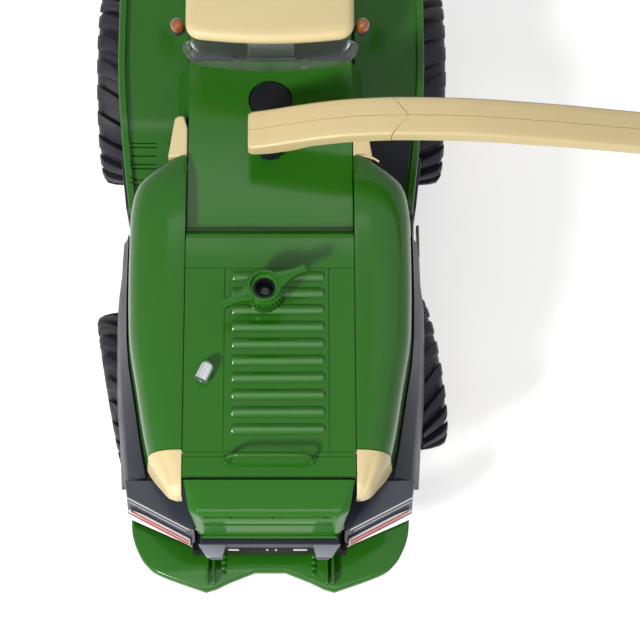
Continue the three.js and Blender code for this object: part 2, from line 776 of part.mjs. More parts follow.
const skirtTie = box(PLATE_HALF + GAP, FENDER_HALF - 4, SKIRT_Y0 + 1, PLATFORM_Y0 - 1, PLATE_Z0, PLATE_Z1);
addPair("side_skirt", join(loft(steps(SKIRT_Y0, SKIRT_Y1, 3).map(skirtRing)), skirtTie), "anthracite");
// Two upright plates, one behind the other, joined at their rear.
const STEP_X = FENDER_HALF - 4.4;
const STEP_Z0 = PLATE_Z0 + 4;
const STEP_Z1 = STEP_Z0 + 3;
const STEP_W = 2.6;
const STEP_Y1 = SKIRT_Y0 - GAP;
add(
  "side_step_right",
  join(
    box(STEP_X, STEP_X + 0.9, STEP_Y1 - 12, STEP_Y1, STEP_Z0, STEP_Z1),
    box(STEP_X + STEP_W - 0.9, STEP_X + STEP_W, STEP_Y1 - 14, STEP_Y1 - 3, STEP_Z0, STEP_Z1),
    box(STEP_X, STEP_X + STEP_W, STEP_Y1 - 14, STEP_Y1 - 11, STEP_Z0, STEP_Z1),
  ),
  "green",
);

// ---- cab ----
const FLOOR_Z = FENDER_Z + 2.4;
const REAR_WALL_Z = DECK_Z - GAP;
const GLASS_FOOT_Z = FLOOR_Z + GAP;
const GLASS_WALL = 1.2;
const CAB_CORNER = 5;
const CAB_BOW = 1.8; // how far the rear glass swells at its middle
const cabPlan = (grow) =>
  roundedRect(CAB_HALF + grow, CAB_REAR_Y - grow, CAB_FRONT_Y + grow, CAB_CORNER + grow, CAB_BOW);
add(
  "cab_tub",
  cut(
    join(
      slab(roundedRect(CAB_HALF, CAB_REAR_Y, CAB_FRONT_Y, CAB_CORNER), FENDER_Z - 2 + 2 * GAP, FLOOR_Z),
      box(-CAB_HALF + 1.6, CAB_HALF - 1.6, CAB_REAR_Y, CAB_REAR_Y + 2, FLOOR_Z - 1, REAR_WALL_Z),
    ),
    both(box(DECK_IN - GAP, CAB_HALF + 1, CAB_REAR_Y - 1, CAB_FRONT_Y + 1, FENDER_Z - 3, FENDER_Z + GAP)),
  ),
  "anthracite",
);
// One clear moulding: walls to the floor at the front and sides, a flared foot over the deck at the rear.
const FLARE = 2.4;
const glassOuter = (grow, low, high) =>
  slab(cabPlan(grow), low, high);
const flareRing = (grow, z) =>
  cabPlan(grow).map(([x, y]) => [x, y, z]);
const FOOT_Z = DECK_Z + GAP;
const flare = cut(
  loft([flareRing(FLARE, FOOT_Z), flareRing(0, FOOT_Z + 3), flareRing(0, FOOT_Z + 4)]),
  loft([
    flareRing(FLARE - GLASS_WALL, FOOT_Z - 0.5),
    flareRing(-GLASS_WALL, FOOT_Z + 2.6),
    flareRing(-GLASS_WALL, FOOT_Z + 5),
  ]),
  box(-50, 50, CAB_REAR_Y + 5, 200, 0, 200),
);
add(
  "cab_glazing",
  join(
    cut(
      glassOuter(0, GLASS_FOOT_Z, GLASS_TOP_Z),
      glassOuter(-GLASS_WALL, GLASS_FOOT_Z - 1, GLASS_TOP_Z + 1),
      box(-50, 50, 0, CAB_REAR_Y + 2.6, 0, FOOT_Z + 3),
    ),
    flare,
  ),
  "glass",
);
add(
  "cab_roof",
  softSlab(
    roundedRect(ROOF_HALF, ROOF_REAR_Y, CAB_FRONT_Y + 5, CAB_CORNER - 0.4, CAB_BOW - 0.6),
    GLASS_TOP_Z + GAP,
    ROOF_Z,
    1.6,
  ),
  "cream",
);
const SEAT_HALF = 7;
const SEAT_Y = CAB_REAR_Y + 6.6; // back of the backrest
const SEAT_Z = FLOOR_Z + 3.6; // underside of the cushion
add(
  "driver_seat",
  join(
    box(-SEAT_HALF, SEAT_HALF, SEAT_Y + 2, SEAT_Y + 14, SEAT_Z, SEAT_Z + 5),
    box(-SEAT_HALF, SEAT_HALF, SEAT_Y, SEAT_Y + 3.5, SEAT_Z + 3, SEAT_Z + 29),
    box(-3, 3, SEAT_Y + 5, SEAT_Y + 11, FLOOR_Z + GAP, SEAT_Z + 1),
  ),
  "grey",
);
const CONSOLE_Y = CAB_FRONT_Y - 11;
add(
  "steering_console",
  join(
    box(-2.5, 2.5, CONSOLE_Y, CONSOLE_Y + 4, FLOOR_Z + GAP, FLOOR_Z + 15.6),
    rod("y", 5, 1.6, [0, CONSOLE_Y - 0.4, FLOOR_Z + 16.6], 20),
  ),
  "black",
);
const BEACON = [ROOF_HALF + 2.6, 82, GLASS_TOP_Z + 2.4];
addPair(
  "beacon",
  join(
    rod("z", 2, 4, [BEACON[0], BEACON[1], BEACON[2] + 1.4], 20),
    box(ROOF_HALF + GAP, BEACON[0], BEACON[1] - 1, BEACON[1] + 1, BEACON[2] - 0.6, BEACON[2] + 0.4),
  ),
  "amber",
);
const MIRROR_TOP = GLASS_TOP_Z + 3.2;
addPair(
  "mirror",
  join(
    box(ROOF_HALF + GAP, ROOF_HALF + 11, CAB_FRONT_Y - 1, CAB_FRONT_Y + 0.2, MIRROR_TOP - 1.2, MIRROR_TOP),
    box(ROOF_HALF + 8, ROOF_HALF + 13, CAB_FRONT_Y - 1.4, CAB_FRONT_Y + 0.4, MIRROR_TOP - 15, MIRROR_TOP),
  ),
  "black",
);

// ---- intake with its feed rollers ----
const MOUTH_HALF = 14.5;
const CHUTE_HALF = MOUTH_HALF + 2.5;
const MOUTH_Z0 = 17;
const MOUTH_Z1 = 43;
const FRAME_HALF = 24;
const ROLLER_R = 5.4;
const ROLLER_Y = INTAKE_FRONT_Y - 11;
const ROLLER_TEETH = 10;
const rollerLevels = { lower: MOUTH_Z0 + ROLLER_R + 1, upper: MOUTH_Z1 - ROLLER_R - 1 };
add(
  "intake_housing",
  cut(
    join(
      box(-CHUTE_HALF, CHUTE_HALF, CHASSIS_FRONT_Y + GAP, INTAKE_FRONT_Y - 1, MOUTH_Z0 - 3, MOUTH_Z1 + 3),
      box(-FRAME_HALF, FRAME_HALF, INTAKE_FRONT_Y - 4, INTAKE_FRONT_Y, MOUTH_Z0 - 7, MOUTH_Z1 + 7),
    ),
    box(-MOUTH_HALF, MOUTH_HALF, CHASSIS_FRONT_Y + 3, INTAKE_FRONT_Y + 10, MOUTH_Z0, MOUTH_Z1),
    ...Object.values(rollerLevels).map((z) => rod("x", PIN_R + GAP, 2 * MOUTH_HALF + 8, [0, ROLLER_Y, z])),
  ),
  "green",
);
const rollerOutline = steps(0, 2 * Math.PI, 4 * ROLLER_TEETH)
  .slice(0, -1)
  .map((a, i) => [a, i % 4 < 2 ? ROLLER_R : ROLLER_R - 1.1])
  .map(([a, r]) => [ROLLER_Y + r * Math.cos(a), r * Math.sin(a)]);
for (const [level, z] of Object.entries(rollerLevels))
  add(
    "feed_roller_" + level,
    join(
      sideSlab(
        rollerOutline.map(([y, h]) => [y, h + z]),
        -MOUTH_HALF + 1,
        MOUTH_HALF - 1,
      ),
      rod("x", PIN_R, 2 * MOUTH_HALF + 3, [0, ROLLER_Y, z]),
    ),
    "silver",
  );

// ---- small pieces on the hood ----
const HOOD_CREST_Y = CREASE_Y - 4;
const hoodTopAt = (y) =>
  HOOD_Z + ((HOOD_CREST_Y - y) / (HOOD_CREST_Y - HOOD_REAR_Y)) * (HOOD_REAR_Z - HOOD_Z);
const STUB = [-17.8, -17.3]; // foot of the exhaust elbow
const STUB_R = 2.1;
const STUB_REACH = 4; // from the foot to the cut mouth
const stubFoot = hoodTopAt(STUB[1] - 1) + GAP;
const elbow = join(
  rod("z", STUB_R, 2.2, [0, 0, 1.1], 32),
  move(solidOf(new THREE.SphereGeometry(STUB_R, 32, 16)), 0, 0, 2.2),
  rod("y", STUB_R, STUB_REACH, [0, -STUB_REACH / 2, 2.2], 32),
);
add(
  "exhaust_stub",
  move(
    cut(
      elbow,
      rod("y", STUB_R - 0.6, 3, [0, -STUB_REACH, 2.2], 24),
      box(-5, 5, -6, 5, -3, 0),
    ).rotate([0, 0, -25]),
    STUB[0],
    STUB[1],
    stubFoot,
  ),
  "silver",
);
const KNOB = [-1.4, 4.4];
const KNOB_TOP = HOOD_Z + 11;
const KNOB_TURN = 25;
const armHalf = [
  [5, -1.3],
  [9.5, -1.6],
  [12.6, -2.6],
  [13.4, -1.2],
  [12.4, 1.6],
  [9, 1.2],
  [5, 1.3],
];
const knobFoot = hoodTopAt(KNOB[1]) + GAP;
add(
  "steering_knob",
  move(
    cut(
      join(
        rod("z", 5, KNOB_TOP - knobFoot, [0, 0, (KNOB_TOP + knobFoot) / 2], 32),
        rod("z", 5.8, 3, [0, 0, KNOB_TOP - 2], 32),
        slab(armHalf, KNOB_TOP - 3.4, KNOB_TOP - 1),
        slab(
          armHalf.map(([x, y]) => [-x, -y]),
          KNOB_TOP - 3.4,
          KNOB_TOP - 1,
        ),
      ).rotate([0, 0, KNOB_TURN]),
      rod("z", 4.2, 16, [0, 0, KNOB_TOP], 32),
    ),
    KNOB[0],
    KNOB[1],
    0,
  ),
  "green",
);
const RAIL_Y = -43.8;
const RAIL_W = 12; // half span of the grab rail
const RAIL_TOP = HOOD_REAR_Z + 5.6;
const RAIL_R = 0.6;
const RAIL_FOOT_Z = hoodTopAt(RAIL_Y) + GAP;
add(
  "hood_rail",
  join(
    rod("x", RAIL_R, 2 * RAIL_W, [0, RAIL_Y, RAIL_TOP], 10),
    both(
      join(
        rod("z", RAIL_R, RAIL_TOP - RAIL_FOOT_Z, [RAIL_W, RAIL_Y, (RAIL_TOP + RAIL_FOOT_Z) / 2], 10),
        rod("z", 1, 0.8, [RAIL_W, RAIL_Y, RAIL_FOOT_Z + 0.4], 16),
      ),
    ),
  ),
  "green",
);

// ---- spout, swung out to the right of its swivel ----
const SPOUT_TOP = [
  [-6.4, TILT_Z + 7.2],
  [0, TILT_Z + 9.2],
  [6, TILT_Z + 11.4],
  [15, TILT_Z + 14.4],
  [24, TILT_Z + 16.4],
  [38, TILT_Z + 17.6],
  [52, TILT_Z + 17.2],
  [80, TILT_Z + 13.4],
  [100, TILT_Z + 9.4],
  [SPOUT_LEN, TILT_Z + 5.6],
];
const SPOUT_DEPTH = [
  [-6.4, 4],
  [0, 5.4],
  [6, 5.6],
  [12, 4.6],
  [SPOUT_LEN, 4.2],
];
const ROUND = 0.8; // softened long edges
function spoutRing(x) {
  const top = along(SPOUT_TOP, x);
  const low = top - along(SPOUT_DEPTH, x);
  const h = SPOUT_W / 2;
  const halfSection = [
    [h, low],
    [h, top - ROUND],
    [h - ROUND, top],
  ];
  const inner = [
    [h - SPOUT_WALL, low],
    [h - SPOUT_WALL, top - ROUND - SPOUT_WALL],
    [h - SPOUT_WALL - ROUND, top - SPOUT_WALL],
  ];
  const across = (half) => [...half, ...half.map(([y, z]) => [-y, z]).reverse()];
  return [...across(halfSection), ...across(inner).reverse()].map(([y, z]) => [x, SPOUT_Y + y, z]);
}
const EAR_R = 2.6;
const EAR_IN = 2.4;
const EAR_OUT = 4.2;
const LUG_HALF = EAR_IN - 0.4;
const TILT_PIN_R = 1;
const ear = (s) => {
  const [a, b] = [SPOUT_Y + s * EAR_IN, SPOUT_Y + s * EAR_OUT].sort((p, q) => p - q);
  return join(rod("y", EAR_R, b - a, [0, (a + b) / 2, TILT_Z]), box(-EAR_R, EAR_R, a, b, DECK_Z + 2, TILT_Z));
};
add(
  "spout_turret",
  join(
    rod("z", 3.8, 2.4, [0, SPOUT_Y, DECK_Z + GAP + 1.2], 32),
    rod("z", PIN_R, 7, [0, SPOUT_Y, DECK_Z - 2]),
    ear(-1),
    ear(1),
    rod("y", TILT_PIN_R, 2 * EAR_OUT - 1, [0, SPOUT_Y, TILT_Z]),
  ),
  "black",
);
const lug = cut(
  join(
    rod("y", EAR_R - 0.4, 2 * LUG_HALF, [0, SPOUT_Y, TILT_Z]),
    box(-EAR_R + 0.4, EAR_R - 0.4, SPOUT_Y - LUG_HALF, SPOUT_Y + LUG_HALF, TILT_Z, TILT_Z + 7.8),
  ),
  rod("y", TILT_PIN_R + GAP, 10, [0, SPOUT_Y, TILT_Z]),
);
const rootWall = box(
  -6.2,
  -5,
  SPOUT_Y - SPOUT_W / 2 + 0.5,
  SPOUT_Y + SPOUT_W / 2 - 0.5,
  TILT_Z + 3.8,
  TILT_Z + 6.8,
);
add(
  "spout",
  join(loft([-6.4, -3, 0, 3, 6, 9, 12, 18, 24, 32, SPOUT_SPLIT - GAP].map(spoutRing)), lug, rootWall),
  "cream",
);
add("spout_extension", loft(steps(SPOUT_SPLIT, SPOUT_LEN, 8).map(spoutRing)), "cream");
// End flap: a shallow channel like the spout, hung on its upper edge.
const FLAP_LEN = 10;
const FLAP_DROP = 4;
const flapRing = (t) => {
  const x = SPOUT_LEN + GAP + FLAP_LEN * t;
  const drop = FLAP_DROP * t * t + 2.2 * t;
  return spoutRing(SPOUT_LEN).map(([, y, z]) => [x, y, z - drop]);
};
const FLAP_SWING = 50; // degrees of room under the hinge line
const flapRoom = move(
  box(-30, 0, -SPOUT_W, SPOUT_W, -30, 30).rotate([0, -FLAP_SWING, 0]),
  SPOUT_LEN + GAP,
  SPOUT_Y,
  along(SPOUT_TOP, SPOUT_LEN),
);
add("spout_flap", cut(loft(steps(0, 1, 4).map(flapRing)), flapRoom), "cream");

// The origin is the middle of the footprint, on the floor.
const bounds = new THREE.Box3().setFromObject(harvester);
const middle = bounds.getCenter(new THREE.Vector3());
harvester.position.set(-middle.x, -middle.y, -bounds.min.z);

export default harvester;
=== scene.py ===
"""Self-propelled forage harvester, a 1:32 scale model: its surfaces, small details, light and camera."""

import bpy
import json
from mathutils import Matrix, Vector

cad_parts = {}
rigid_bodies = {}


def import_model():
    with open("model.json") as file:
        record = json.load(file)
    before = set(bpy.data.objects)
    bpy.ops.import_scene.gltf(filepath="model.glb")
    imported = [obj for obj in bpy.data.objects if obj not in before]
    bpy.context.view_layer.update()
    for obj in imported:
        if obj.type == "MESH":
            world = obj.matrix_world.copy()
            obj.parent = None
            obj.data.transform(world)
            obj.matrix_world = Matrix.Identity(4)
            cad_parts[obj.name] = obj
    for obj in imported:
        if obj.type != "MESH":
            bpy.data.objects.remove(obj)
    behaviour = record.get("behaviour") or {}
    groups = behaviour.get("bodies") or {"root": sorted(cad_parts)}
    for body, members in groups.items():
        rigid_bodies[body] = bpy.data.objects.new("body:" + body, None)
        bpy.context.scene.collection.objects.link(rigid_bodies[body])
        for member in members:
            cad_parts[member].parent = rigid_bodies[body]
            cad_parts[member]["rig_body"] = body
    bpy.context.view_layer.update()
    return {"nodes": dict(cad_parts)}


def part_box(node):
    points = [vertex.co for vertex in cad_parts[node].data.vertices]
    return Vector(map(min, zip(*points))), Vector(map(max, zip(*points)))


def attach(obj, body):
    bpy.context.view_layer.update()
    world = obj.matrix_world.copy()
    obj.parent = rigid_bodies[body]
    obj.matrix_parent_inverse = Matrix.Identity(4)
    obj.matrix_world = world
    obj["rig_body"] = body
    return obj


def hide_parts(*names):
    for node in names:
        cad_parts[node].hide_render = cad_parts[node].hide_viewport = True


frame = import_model()

import json
import math

import bmesh
import bpy
from mathutils import Matrix, Vector

SCENE = bpy.context.scene
MM = 0.001

# ---- where the machine stands: millimetres on its own centreline, +Y forwards ----
WELL_Y = 70.0
DISC_LOW, DISC_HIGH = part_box("well_disc")
CENTRE = Vector(((DISC_LOW.x + DISC_HIGH.x) / 2, (DISC_LOW.y + DISC_HIGH.y) / 2 - WELL_Y * MM, 0.0))
DECK_HALF = 24.4
DECK_Z = 91.0
HOOD_Z = 96.0
HOOD_REAR_Z = 95.0
HOOD_REAR_Y = -48.4
HOOD_FRONT_Y = 51.0
CREASE_Y = 27.0
CAP_Y = -40.6
CAP_REAR_Y = -53.2
SIDE_HALF_W = 41.6
SIDE_Z = 84.0
SIDE_BOTTOM = 72.0
WALL = 1.5
GAP = 0.3
SPOUT_Y = 53.8
SPOUT_W = 12.0
SPOUT_LEN = 118.0
TILT_Z = 97.2
FRONT_AXLE_Y = 102.5
REAR_AXLE_Y = 3.0
# a tyre: its sizes, how far out it stands, its bead, and its lugs' count, width and lead
FRONT_TYRE = {"radius": 32.0, "width": 24.0, "out": 55.5, "bead": 19.2, "count": 22, "bar": 3.6, "lead": 0.22}
REAR_TYRE = {"radius": 25.0, "width": 17.0, "out": 52.0, "bead": 14.0, "count": 20, "bar": 3.0, "lead": 0.30}
KINGPIN_X = 28.0
STEER = math.radians(10.0)
KNOB = (-1.4, 4.4)
KNOB_TOP = 107.0
KNOB_TURN = math.radians(25.0)
TAIL_TOP_Z = 94.2
TAIL_BEND_Y = -57.8
TAIL_LOW_Y = -61.6
TAIL_LOW_Z = 78.0
SIDES = (("left", -1), ("right", 1))


def at(x, y, z):
    """A point of the machine, from its own millimetres to metres in the frame."""
    return Vector((x, y, z)) * MM + CENTRE


def srgb(r, g, b):
    """An 8-bit display colour as a linear one."""
    shares = [c / 255 for c in (r, g, b)]
    return tuple(c / 12.92 if c <= 0.04 else ((c + 0.055) / 1.055) ** 2.4 for c in shares) + (1.0,)


def fill(node, **values):
    """Sets a shader node's sockets, each named with _ for a space."""
    for socket, value in values.items():
        node.inputs[socket.replace("_", " ")].default_value = value


# ---- materials ----
def sockets(tree, way, **kinds):
    """Gives a node group its inputs or outputs, each with its kind."""
    for label, kind in kinds.items():
        tree.interface.new_socket(label.replace("_", " "), in_out=way, socket_type="NodeSocket" + kind)


DRIFT_LOW, DRIFT_HIGH = 0.3, 0.7  # the noise values between which the roughness changes
GRAIN_DEEP = 0.0002


def moulded_finish():
    """A colour and a roughness that drift together, and the fine grain of a moulded or painted skin."""
    tree = bpy.data.node_groups.new("moulded_finish", "ShaderNodeTree")
    numbers = dict.fromkeys(("Drift_Scale", "Smooth", "Dull", "Grain_Scale", "Grain_Height"), "Float")
    sockets(tree, "INPUT", Colour="Color", Deep_Colour="Color", **numbers)
    sockets(tree, "OUTPUT", Colour="Color", Roughness="Float", Normal="Vector")
    new, link = tree.nodes.new, tree.links.new
    start, end = new("NodeGroupInput"), new("NodeGroupOutput")
    place = new("ShaderNodeTexCoord")
    drift = new("ShaderNodeTexNoise")
    fill(drift, Detail=3)
    link(place.outputs["Object"], drift.inputs["Vector"])
    link(start.outputs["Drift Scale"], drift.inputs["Scale"])
    colour = new("ShaderNodeMix")
    colour.data_type = "RGBA"
    link(drift.outputs["Fac"], colour.inputs["Factor"])
    link(start.outputs["Colour"], colour.inputs[6])
    link(start.outputs["Deep Colour"], colour.inputs[7])
    link(colour.outputs[2], end.inputs["Colour"])
    grain = new("ShaderNodeTexNoise")
    fill(grain, Detail=2)
    link(place.outputs["Object"], grain.inputs["Vector"])
    link(start.outputs["Grain Scale"], grain.inputs["Scale"])
    rough = new("ShaderNodeMapRange")
    link(drift.outputs["Fac"], rough.inputs["Value"])
    fill(rough, From_Min=DRIFT_LOW, From_Max=DRIFT_HIGH)
    link(start.outputs["Smooth"], rough.inputs["To Min"])
    link(start.outputs["Dull"], rough.inputs["To Max"])
    link(rough.outputs["Result"], end.inputs["Roughness"])
    bump = new("ShaderNodeBump")
    fill(bump, Distance=GRAIN_DEEP)
    link(grain.outputs["Fac"], bump.inputs["Height"])
    link(start.outputs["Grain Height"], bump.inputs["Strength"])
    link(bump.outputs["Normal"], end.inputs["Normal"])
    return tree


FINISH = moulded_finish()


def material(name, colour, deep, smooth, dull, grain=(1500.0, 0.02), drift=40.0, **shader):
    """A Principled material whose colour, roughness and grain come from the shared finish.

    Roughness runs from smooth to dull; grain is its scale and height; other names are the shader's sockets.
    """
    made = bpy.data.materials.new(name)
    made.use_nodes = True
    nodes, links = made.node_tree.nodes, made.node_tree.links
    principled = nodes["Principled BSDF"]
    finish = nodes.new("ShaderNodeGroup")
    finish.name = "finish"
    finish.node_tree = FINISH
    fill(finish, Colour=srgb(*colour), Deep_Colour=srgb(*deep), Drift_Scale=drift, Smooth=smooth, Dull=dull)
    fill(finish, Grain_Scale=grain[0], Grain_Height=grain[1])
    fill(principled, **shader)
    for source, socket in (("Colour", "Base Color"), ("Roughness", "Roughness"), ("Normal", "Normal")):
        links.new(finish.outputs[source], principled.inputs[socket])
    return made


GLOSS_GREEN = material(
    "gloss_green_enamel", (46, 114, 26), (40, 107, 22), 0.12, 0.19, (900, 0.03), 18, Specular_IOR_Level=0.26
)
SATIN_CREAM = material(
    "satin_cream_plastic", (236, 218, 168), (230, 210, 156), 0.34, 0.44, (1300, 0.05), 30
)
SATIN_ANTHRACITE = material(
    "satin_anthracite_plastic", (44, 46, 58), (38, 40, 50), 0.34, 0.46, (2200, 0.10), Specular_IOR_Level=0.16
)
CORNER_ANTHRACITE = material(
    "glossy_anthracite_plastic", (64, 68, 80), (56, 60, 72), 0.18, 0.28, (2200, 0.06)
)
# a lighter anthracite for a painted sheen: the tops of the crossbar's tabs
SHEEN_ANTHRACITE = material(
    "painted_sheen_anthracite", (142, 144, 155), (128, 130, 142), 0.3, 0.42, (2200, 0.10)
)
TYRE_RUBBER = material(
    "tyre_rubber", (46, 46, 56), (34, 34, 40), 0.5, 0.7, (2600, 0.15), 90, Specular_IOR_Level=0.35
)
MATT_BLACK = material(
    "matt_black_plastic", (20, 23, 32), (14, 15, 19), 0.45, 0.6, (1800, 0.08), Specular_IOR_Level=0.25
)
SEAT_GREY = material("pale_seat_plastic", (196, 196, 192), (180, 180, 178), 0.5, 0.6, (1800, 0.08))
# near black with hardly any shine: painted shade, for the wall under the crossbar and the gaps beside it
SHADE_BLACK = material(
    "painted_shade_black", (12, 12, 15), (8, 8, 10), 0.6, 0.7, (1800, 0.05), Specular_IOR_Level=0.08
)
MATT_GREY = material("matt_grey_plastic", (136, 138, 142), (112, 114, 120), 0.5, 0.6, (1800, 0.1))
SILVER_LACQUER = material(
    "silver_lacquer", (204, 206, 208), (178, 180, 184), 0.18, 0.3, (2400, 0.06), Metallic=0.85
)
# a darker green for painted shadow: the thin strips at the foot of the louvres
SHADOW_GREEN = material("painted_shadow_green", (28, 72, 22), (22, 60, 18), 0.3, 0.45, (900, 0.03))
SPOUT_CREAM = material(
    "spout_cream_plastic", (228, 208, 158), (223, 202, 150), 0.36, 0.46, (1300, 0.05), 25
)
LIGHT_WHITE = material("light_strip_white", (228, 226, 226), (206, 205, 208), 0.2, 0.3, (1600, 0.04), 90)
LIGHT_RED = material("light_strip_red", (176, 42, 36), (150, 30, 28), 0.15, 0.25, (1600, 0.04), 90)
AMBER_CLEAR = material(
    "amber_clear", (158, 88, 34), (138, 72, 26), 0.12, 0.2, (900, 0.02), 200, Coat_Weight=0.2
)
CLEAR_GLAZING = material(
    *("clear_glazing", (240, 240, 240), (226, 230, 232), 0.03, 0.07, (500, 0.02), 60),
    Transmission_Weight=0.97,
    IOR=1.27,
)


# ---- making meshes ----
SHADE_ANGLE = 38.0  # degrees; edges sharper than this stay crisp
MERGE_REACH = 1e-6  # metres
BOX_FACES = [(0, 1, 3, 2), (4, 6, 7, 5), (0, 4, 5, 1), (2, 3, 7, 6), (0, 2, 6, 4), (1, 5, 7, 3)]


def in_scene(name, data):
    """A new object in the scene, for a mesh, a lamp or a camera."""
    made = bpy.data.objects.new(name, data)
    SCENE.collection.objects.link(made)
    return made


def mesh_object(name, vertices, faces):
    """An object at the origin from points in metres."""
    data = bpy.data.meshes.new(name)
    data.from_pydata([tuple(v) for v in vertices], [], faces)
    return in_scene(name, data)


def baked(obj):
    """Applies what an object's modifiers make of it and drops the modifiers."""
    bpy.context.view_layer.update()
    evaluated = obj.evaluated_get(bpy.context.evaluated_depsgraph_get())
    fresh = bpy.data.meshes.new_from_object(evaluated)
    obj.modifiers.clear()
    obj.data = fresh
    return obj


def softened(obj, width, segments=2, angle=32.0):
    """Rounds an object's edges by a width in millimetres."""
    bevel = obj.modifiers.new("soft edges", "BEVEL")
    bevel.width = width * MM
    bevel.segments = segments
    bevel.limit_method = "ANGLE"
    bevel.angle_limit = math.radians(angle)
    bevel.use_clamp_overlap = True
    return baked(obj)


def shaded(obj, angle=SHADE_ANGLE):
    """Smooth shading that breaks at edges sharper than the angle."""
    obj.data.shade_smooth()
    obj.data.set_sharp_from_angle(angle=math.radians(angle))
    return obj


def evened(obj):
    """Lets the widest faces set the shading, so that flat panels read flat up to their soft edges."""
    weighted = obj.modifiers.new("even shading", "WEIGHTED_NORMAL")
    weighted.keep_sharp = True
    weighted.weight = 100
    return baked(obj)


def outward(obj):
    """Merges doubled points and turns every face outwards."""
    mesh = bmesh.new()
    mesh.from_mesh(obj.data)
    bmesh.ops.remove_doubles(mesh, verts=mesh.verts, dist=MERGE_REACH)
    bmesh.ops.recalc_face_normals(mesh, faces=mesh.faces)
    mesh.to_mesh(obj.data)
    mesh.free()
    return obj


def painted(obj, finish):
    """Gives an object its one material."""
    obj.data.materials.clear()
    obj.data.materials.append(finish)
    return obj


def rides_with(obj, node, stands_for=True):
    """The piece moves with the CAD node's body, and stands for the node unless told not to."""
    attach(obj, frame["nodes"][node]["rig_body"])
    if stands_for:
        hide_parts(node)
    return obj


def dressed(obj, finish, node, shade=SHADE_ANGLE):
    """A shaded and painted piece that stands for a CAD node."""
    return rides_with(painted(shaded(obj, shade), finish), node)


def added(obj, finish, node):
    """A shaded and painted detail that moves with a CAD node's body and stands for none."""
    return rides_with(painted(shaded(obj), finish), node, False)


def joined(name, objects):
    """Several objects as one."""
    mesh = bmesh.new()
    for o in objects:
        mesh.from_mesh(o.data)
    data = bpy.data.meshes.new(name)
    mesh.to_mesh(data)
    mesh.free()
    made = in_scene(name, data)
    for o in objects:
        bpy.data.objects.remove(o)
    return made


def merged_copy(node):
    """A CAD node's own shape with its doubled points merged and its flat faces whole."""
    mesh = bmesh.new()
    mesh.from_mesh(frame["nodes"][node].data)
    bmesh.ops.remove_doubles(mesh, verts=mesh.verts, dist=2 * MERGE_REACH)
    bmesh.ops.dissolve_limit(mesh, angle_limit=math.radians(0.6), verts=mesh.verts, edges=mesh.edges)
    data = bpy.data.meshes.new(node + "_skin")
    mesh.to_mesh(data)
    mesh.free()
    return in_scene(node + "_skin", data)


def grooved(obj, boxes):
    """Cuts grooves, each a box of machine sizes (x0, x1, y0, y1, z0, z1), out of an object."""
    corners, faces = [], []
    for x0, x1, y0, y1, z0, z1 in boxes:
        n = len(corners)
        corners += [at(x, y, z) for z in (z0, z1) for y in (y0, y1) for x in (x0, x1)]
        faces += [tuple(n + k for k in face) for face in BOX_FACES]
    tool = outward(mesh_object("groove_tool", corners, faces))
    cutting = obj.modifiers.new("grooves", "BOOLEAN")
    cutting.operation = "DIFFERENCE"
    cutting.solver = "EXACT"
    cutting.use_self = True
    cutting.object = tool
    baked(obj)
    bpy.data.objects.remove(tool)
    return obj


def from_node(node, finish, width, segments=2, grooves=()):
    """A CAD node's own shape with soft edges, its grooves and its real finish."""
    made = merged_copy(node)
    if grooves:
        grooved(made, grooves)
    softened(made, width, segments)
    return rides_with(painted(evened(shaded(made)), finish), node)


def along(table, key):
    """A smooth value between (key, value) pairs sorted by rising key, with no overshoot."""
    last = len(table) - 1
    if key <= table[0][0]:
        return table[0][1]
    if key >= table[last][0]:
        return table[last][1]
    i = next(k for k in range(last + 1) if table[k][0] > key) - 1

    def slope(a, b):
        return (table[b][1] - table[a][1]) / (table[b][0] - table[a][0])

    def limited(k):
        if k == 0 or k == last:
            return slope(0 if k == 0 else last - 1, 1 if k == 0 else last)
        a, b = slope(k - 1, k), slope(k, k + 1)
        return 0.0 if a * b <= 0 else 2 * a * b / (a + b)

    (x0, y0), (x1, y1) = table[i], table[i + 1]
    h = x1 - x0
    t = (key - x0) / h
    return (
        y0 * (1 + 2 * t) * (1 - t) ** 2
        + limited(i) * h * t * (1 - t) ** 2
        + y1 * t * t * (3 - 2 * t)
        + limited(i + 1) * h * t * t * (t - 1)
    )


def spread(start, stop, count):
    """Evenly spaced values, both ends included."""
    return [start + (stop - start) * i / count for i in range(count + 1)]


def loft(name, rings):
    """A closed skin through rings of machine points, capped at both ends."""
    n = len(rings[0])
    faces = []
    for r in range(len(rings) - 1):
        for i in range(n):
            a, b = r * n + i, r * n + (i + 1) % n
            faces.append((a, b, b + n, a + n))
    faces.append(tuple(range(n - 1, -1, -1)))
    faces.append(tuple(range((len(rings) - 1) * n, len(rings) * n)))
    return outward(mesh_object(name, [at(*p) for ring in rings for p in ring], faces))


def lathe(name, profile, place, segments=64):
    """A closed (radius, height) profile in millimetres spun round X, then placed."""
    n = len(profile)
    points = []
    for k in range(segments):
        a = 2 * math.pi * k / segments
        points += [Vector((x, r * math.cos(a), r * math.sin(a))) * MM for r, x in profile]
    faces = [
        (k * n + i, k * n + (i + 1) % n, ((k + 1) % segments) * n + (i + 1) % n, ((k + 1) % segments) * n + i)
        for k in range(segments)
        for i in range(n)
    ]
    made = mesh_object(name, points, faces)
    made.data.transform(place)
    return outward(made)


UPRIGHT = Matrix.Rotation(-math.pi / 2, 4, "Y")  # stands a lathe's axis on end


def curve_through(points):
    """A smooth open line through plan points."""
    line, steps = [], 5
    for i in range(len(points) - 1):
        p0, p1, p2, p3 = (Vector(points[max(0, min(k, len(points) - 1))]) for k in (i - 1, i, i + 1, i + 2))
        for t in (k / steps for k in range(steps)):
            bend, twist = 2 * p0 - 5 * p1 + 4 * p2 - p3, 3 * p1 - p0 - 3 * p2 + p3
            line.append(0.5 * (2 * p1 + (p2 - p0) * t + bend * t**2 + twist * t**3))
    return [tuple(p) for p in line] + [tuple(points[-1])]


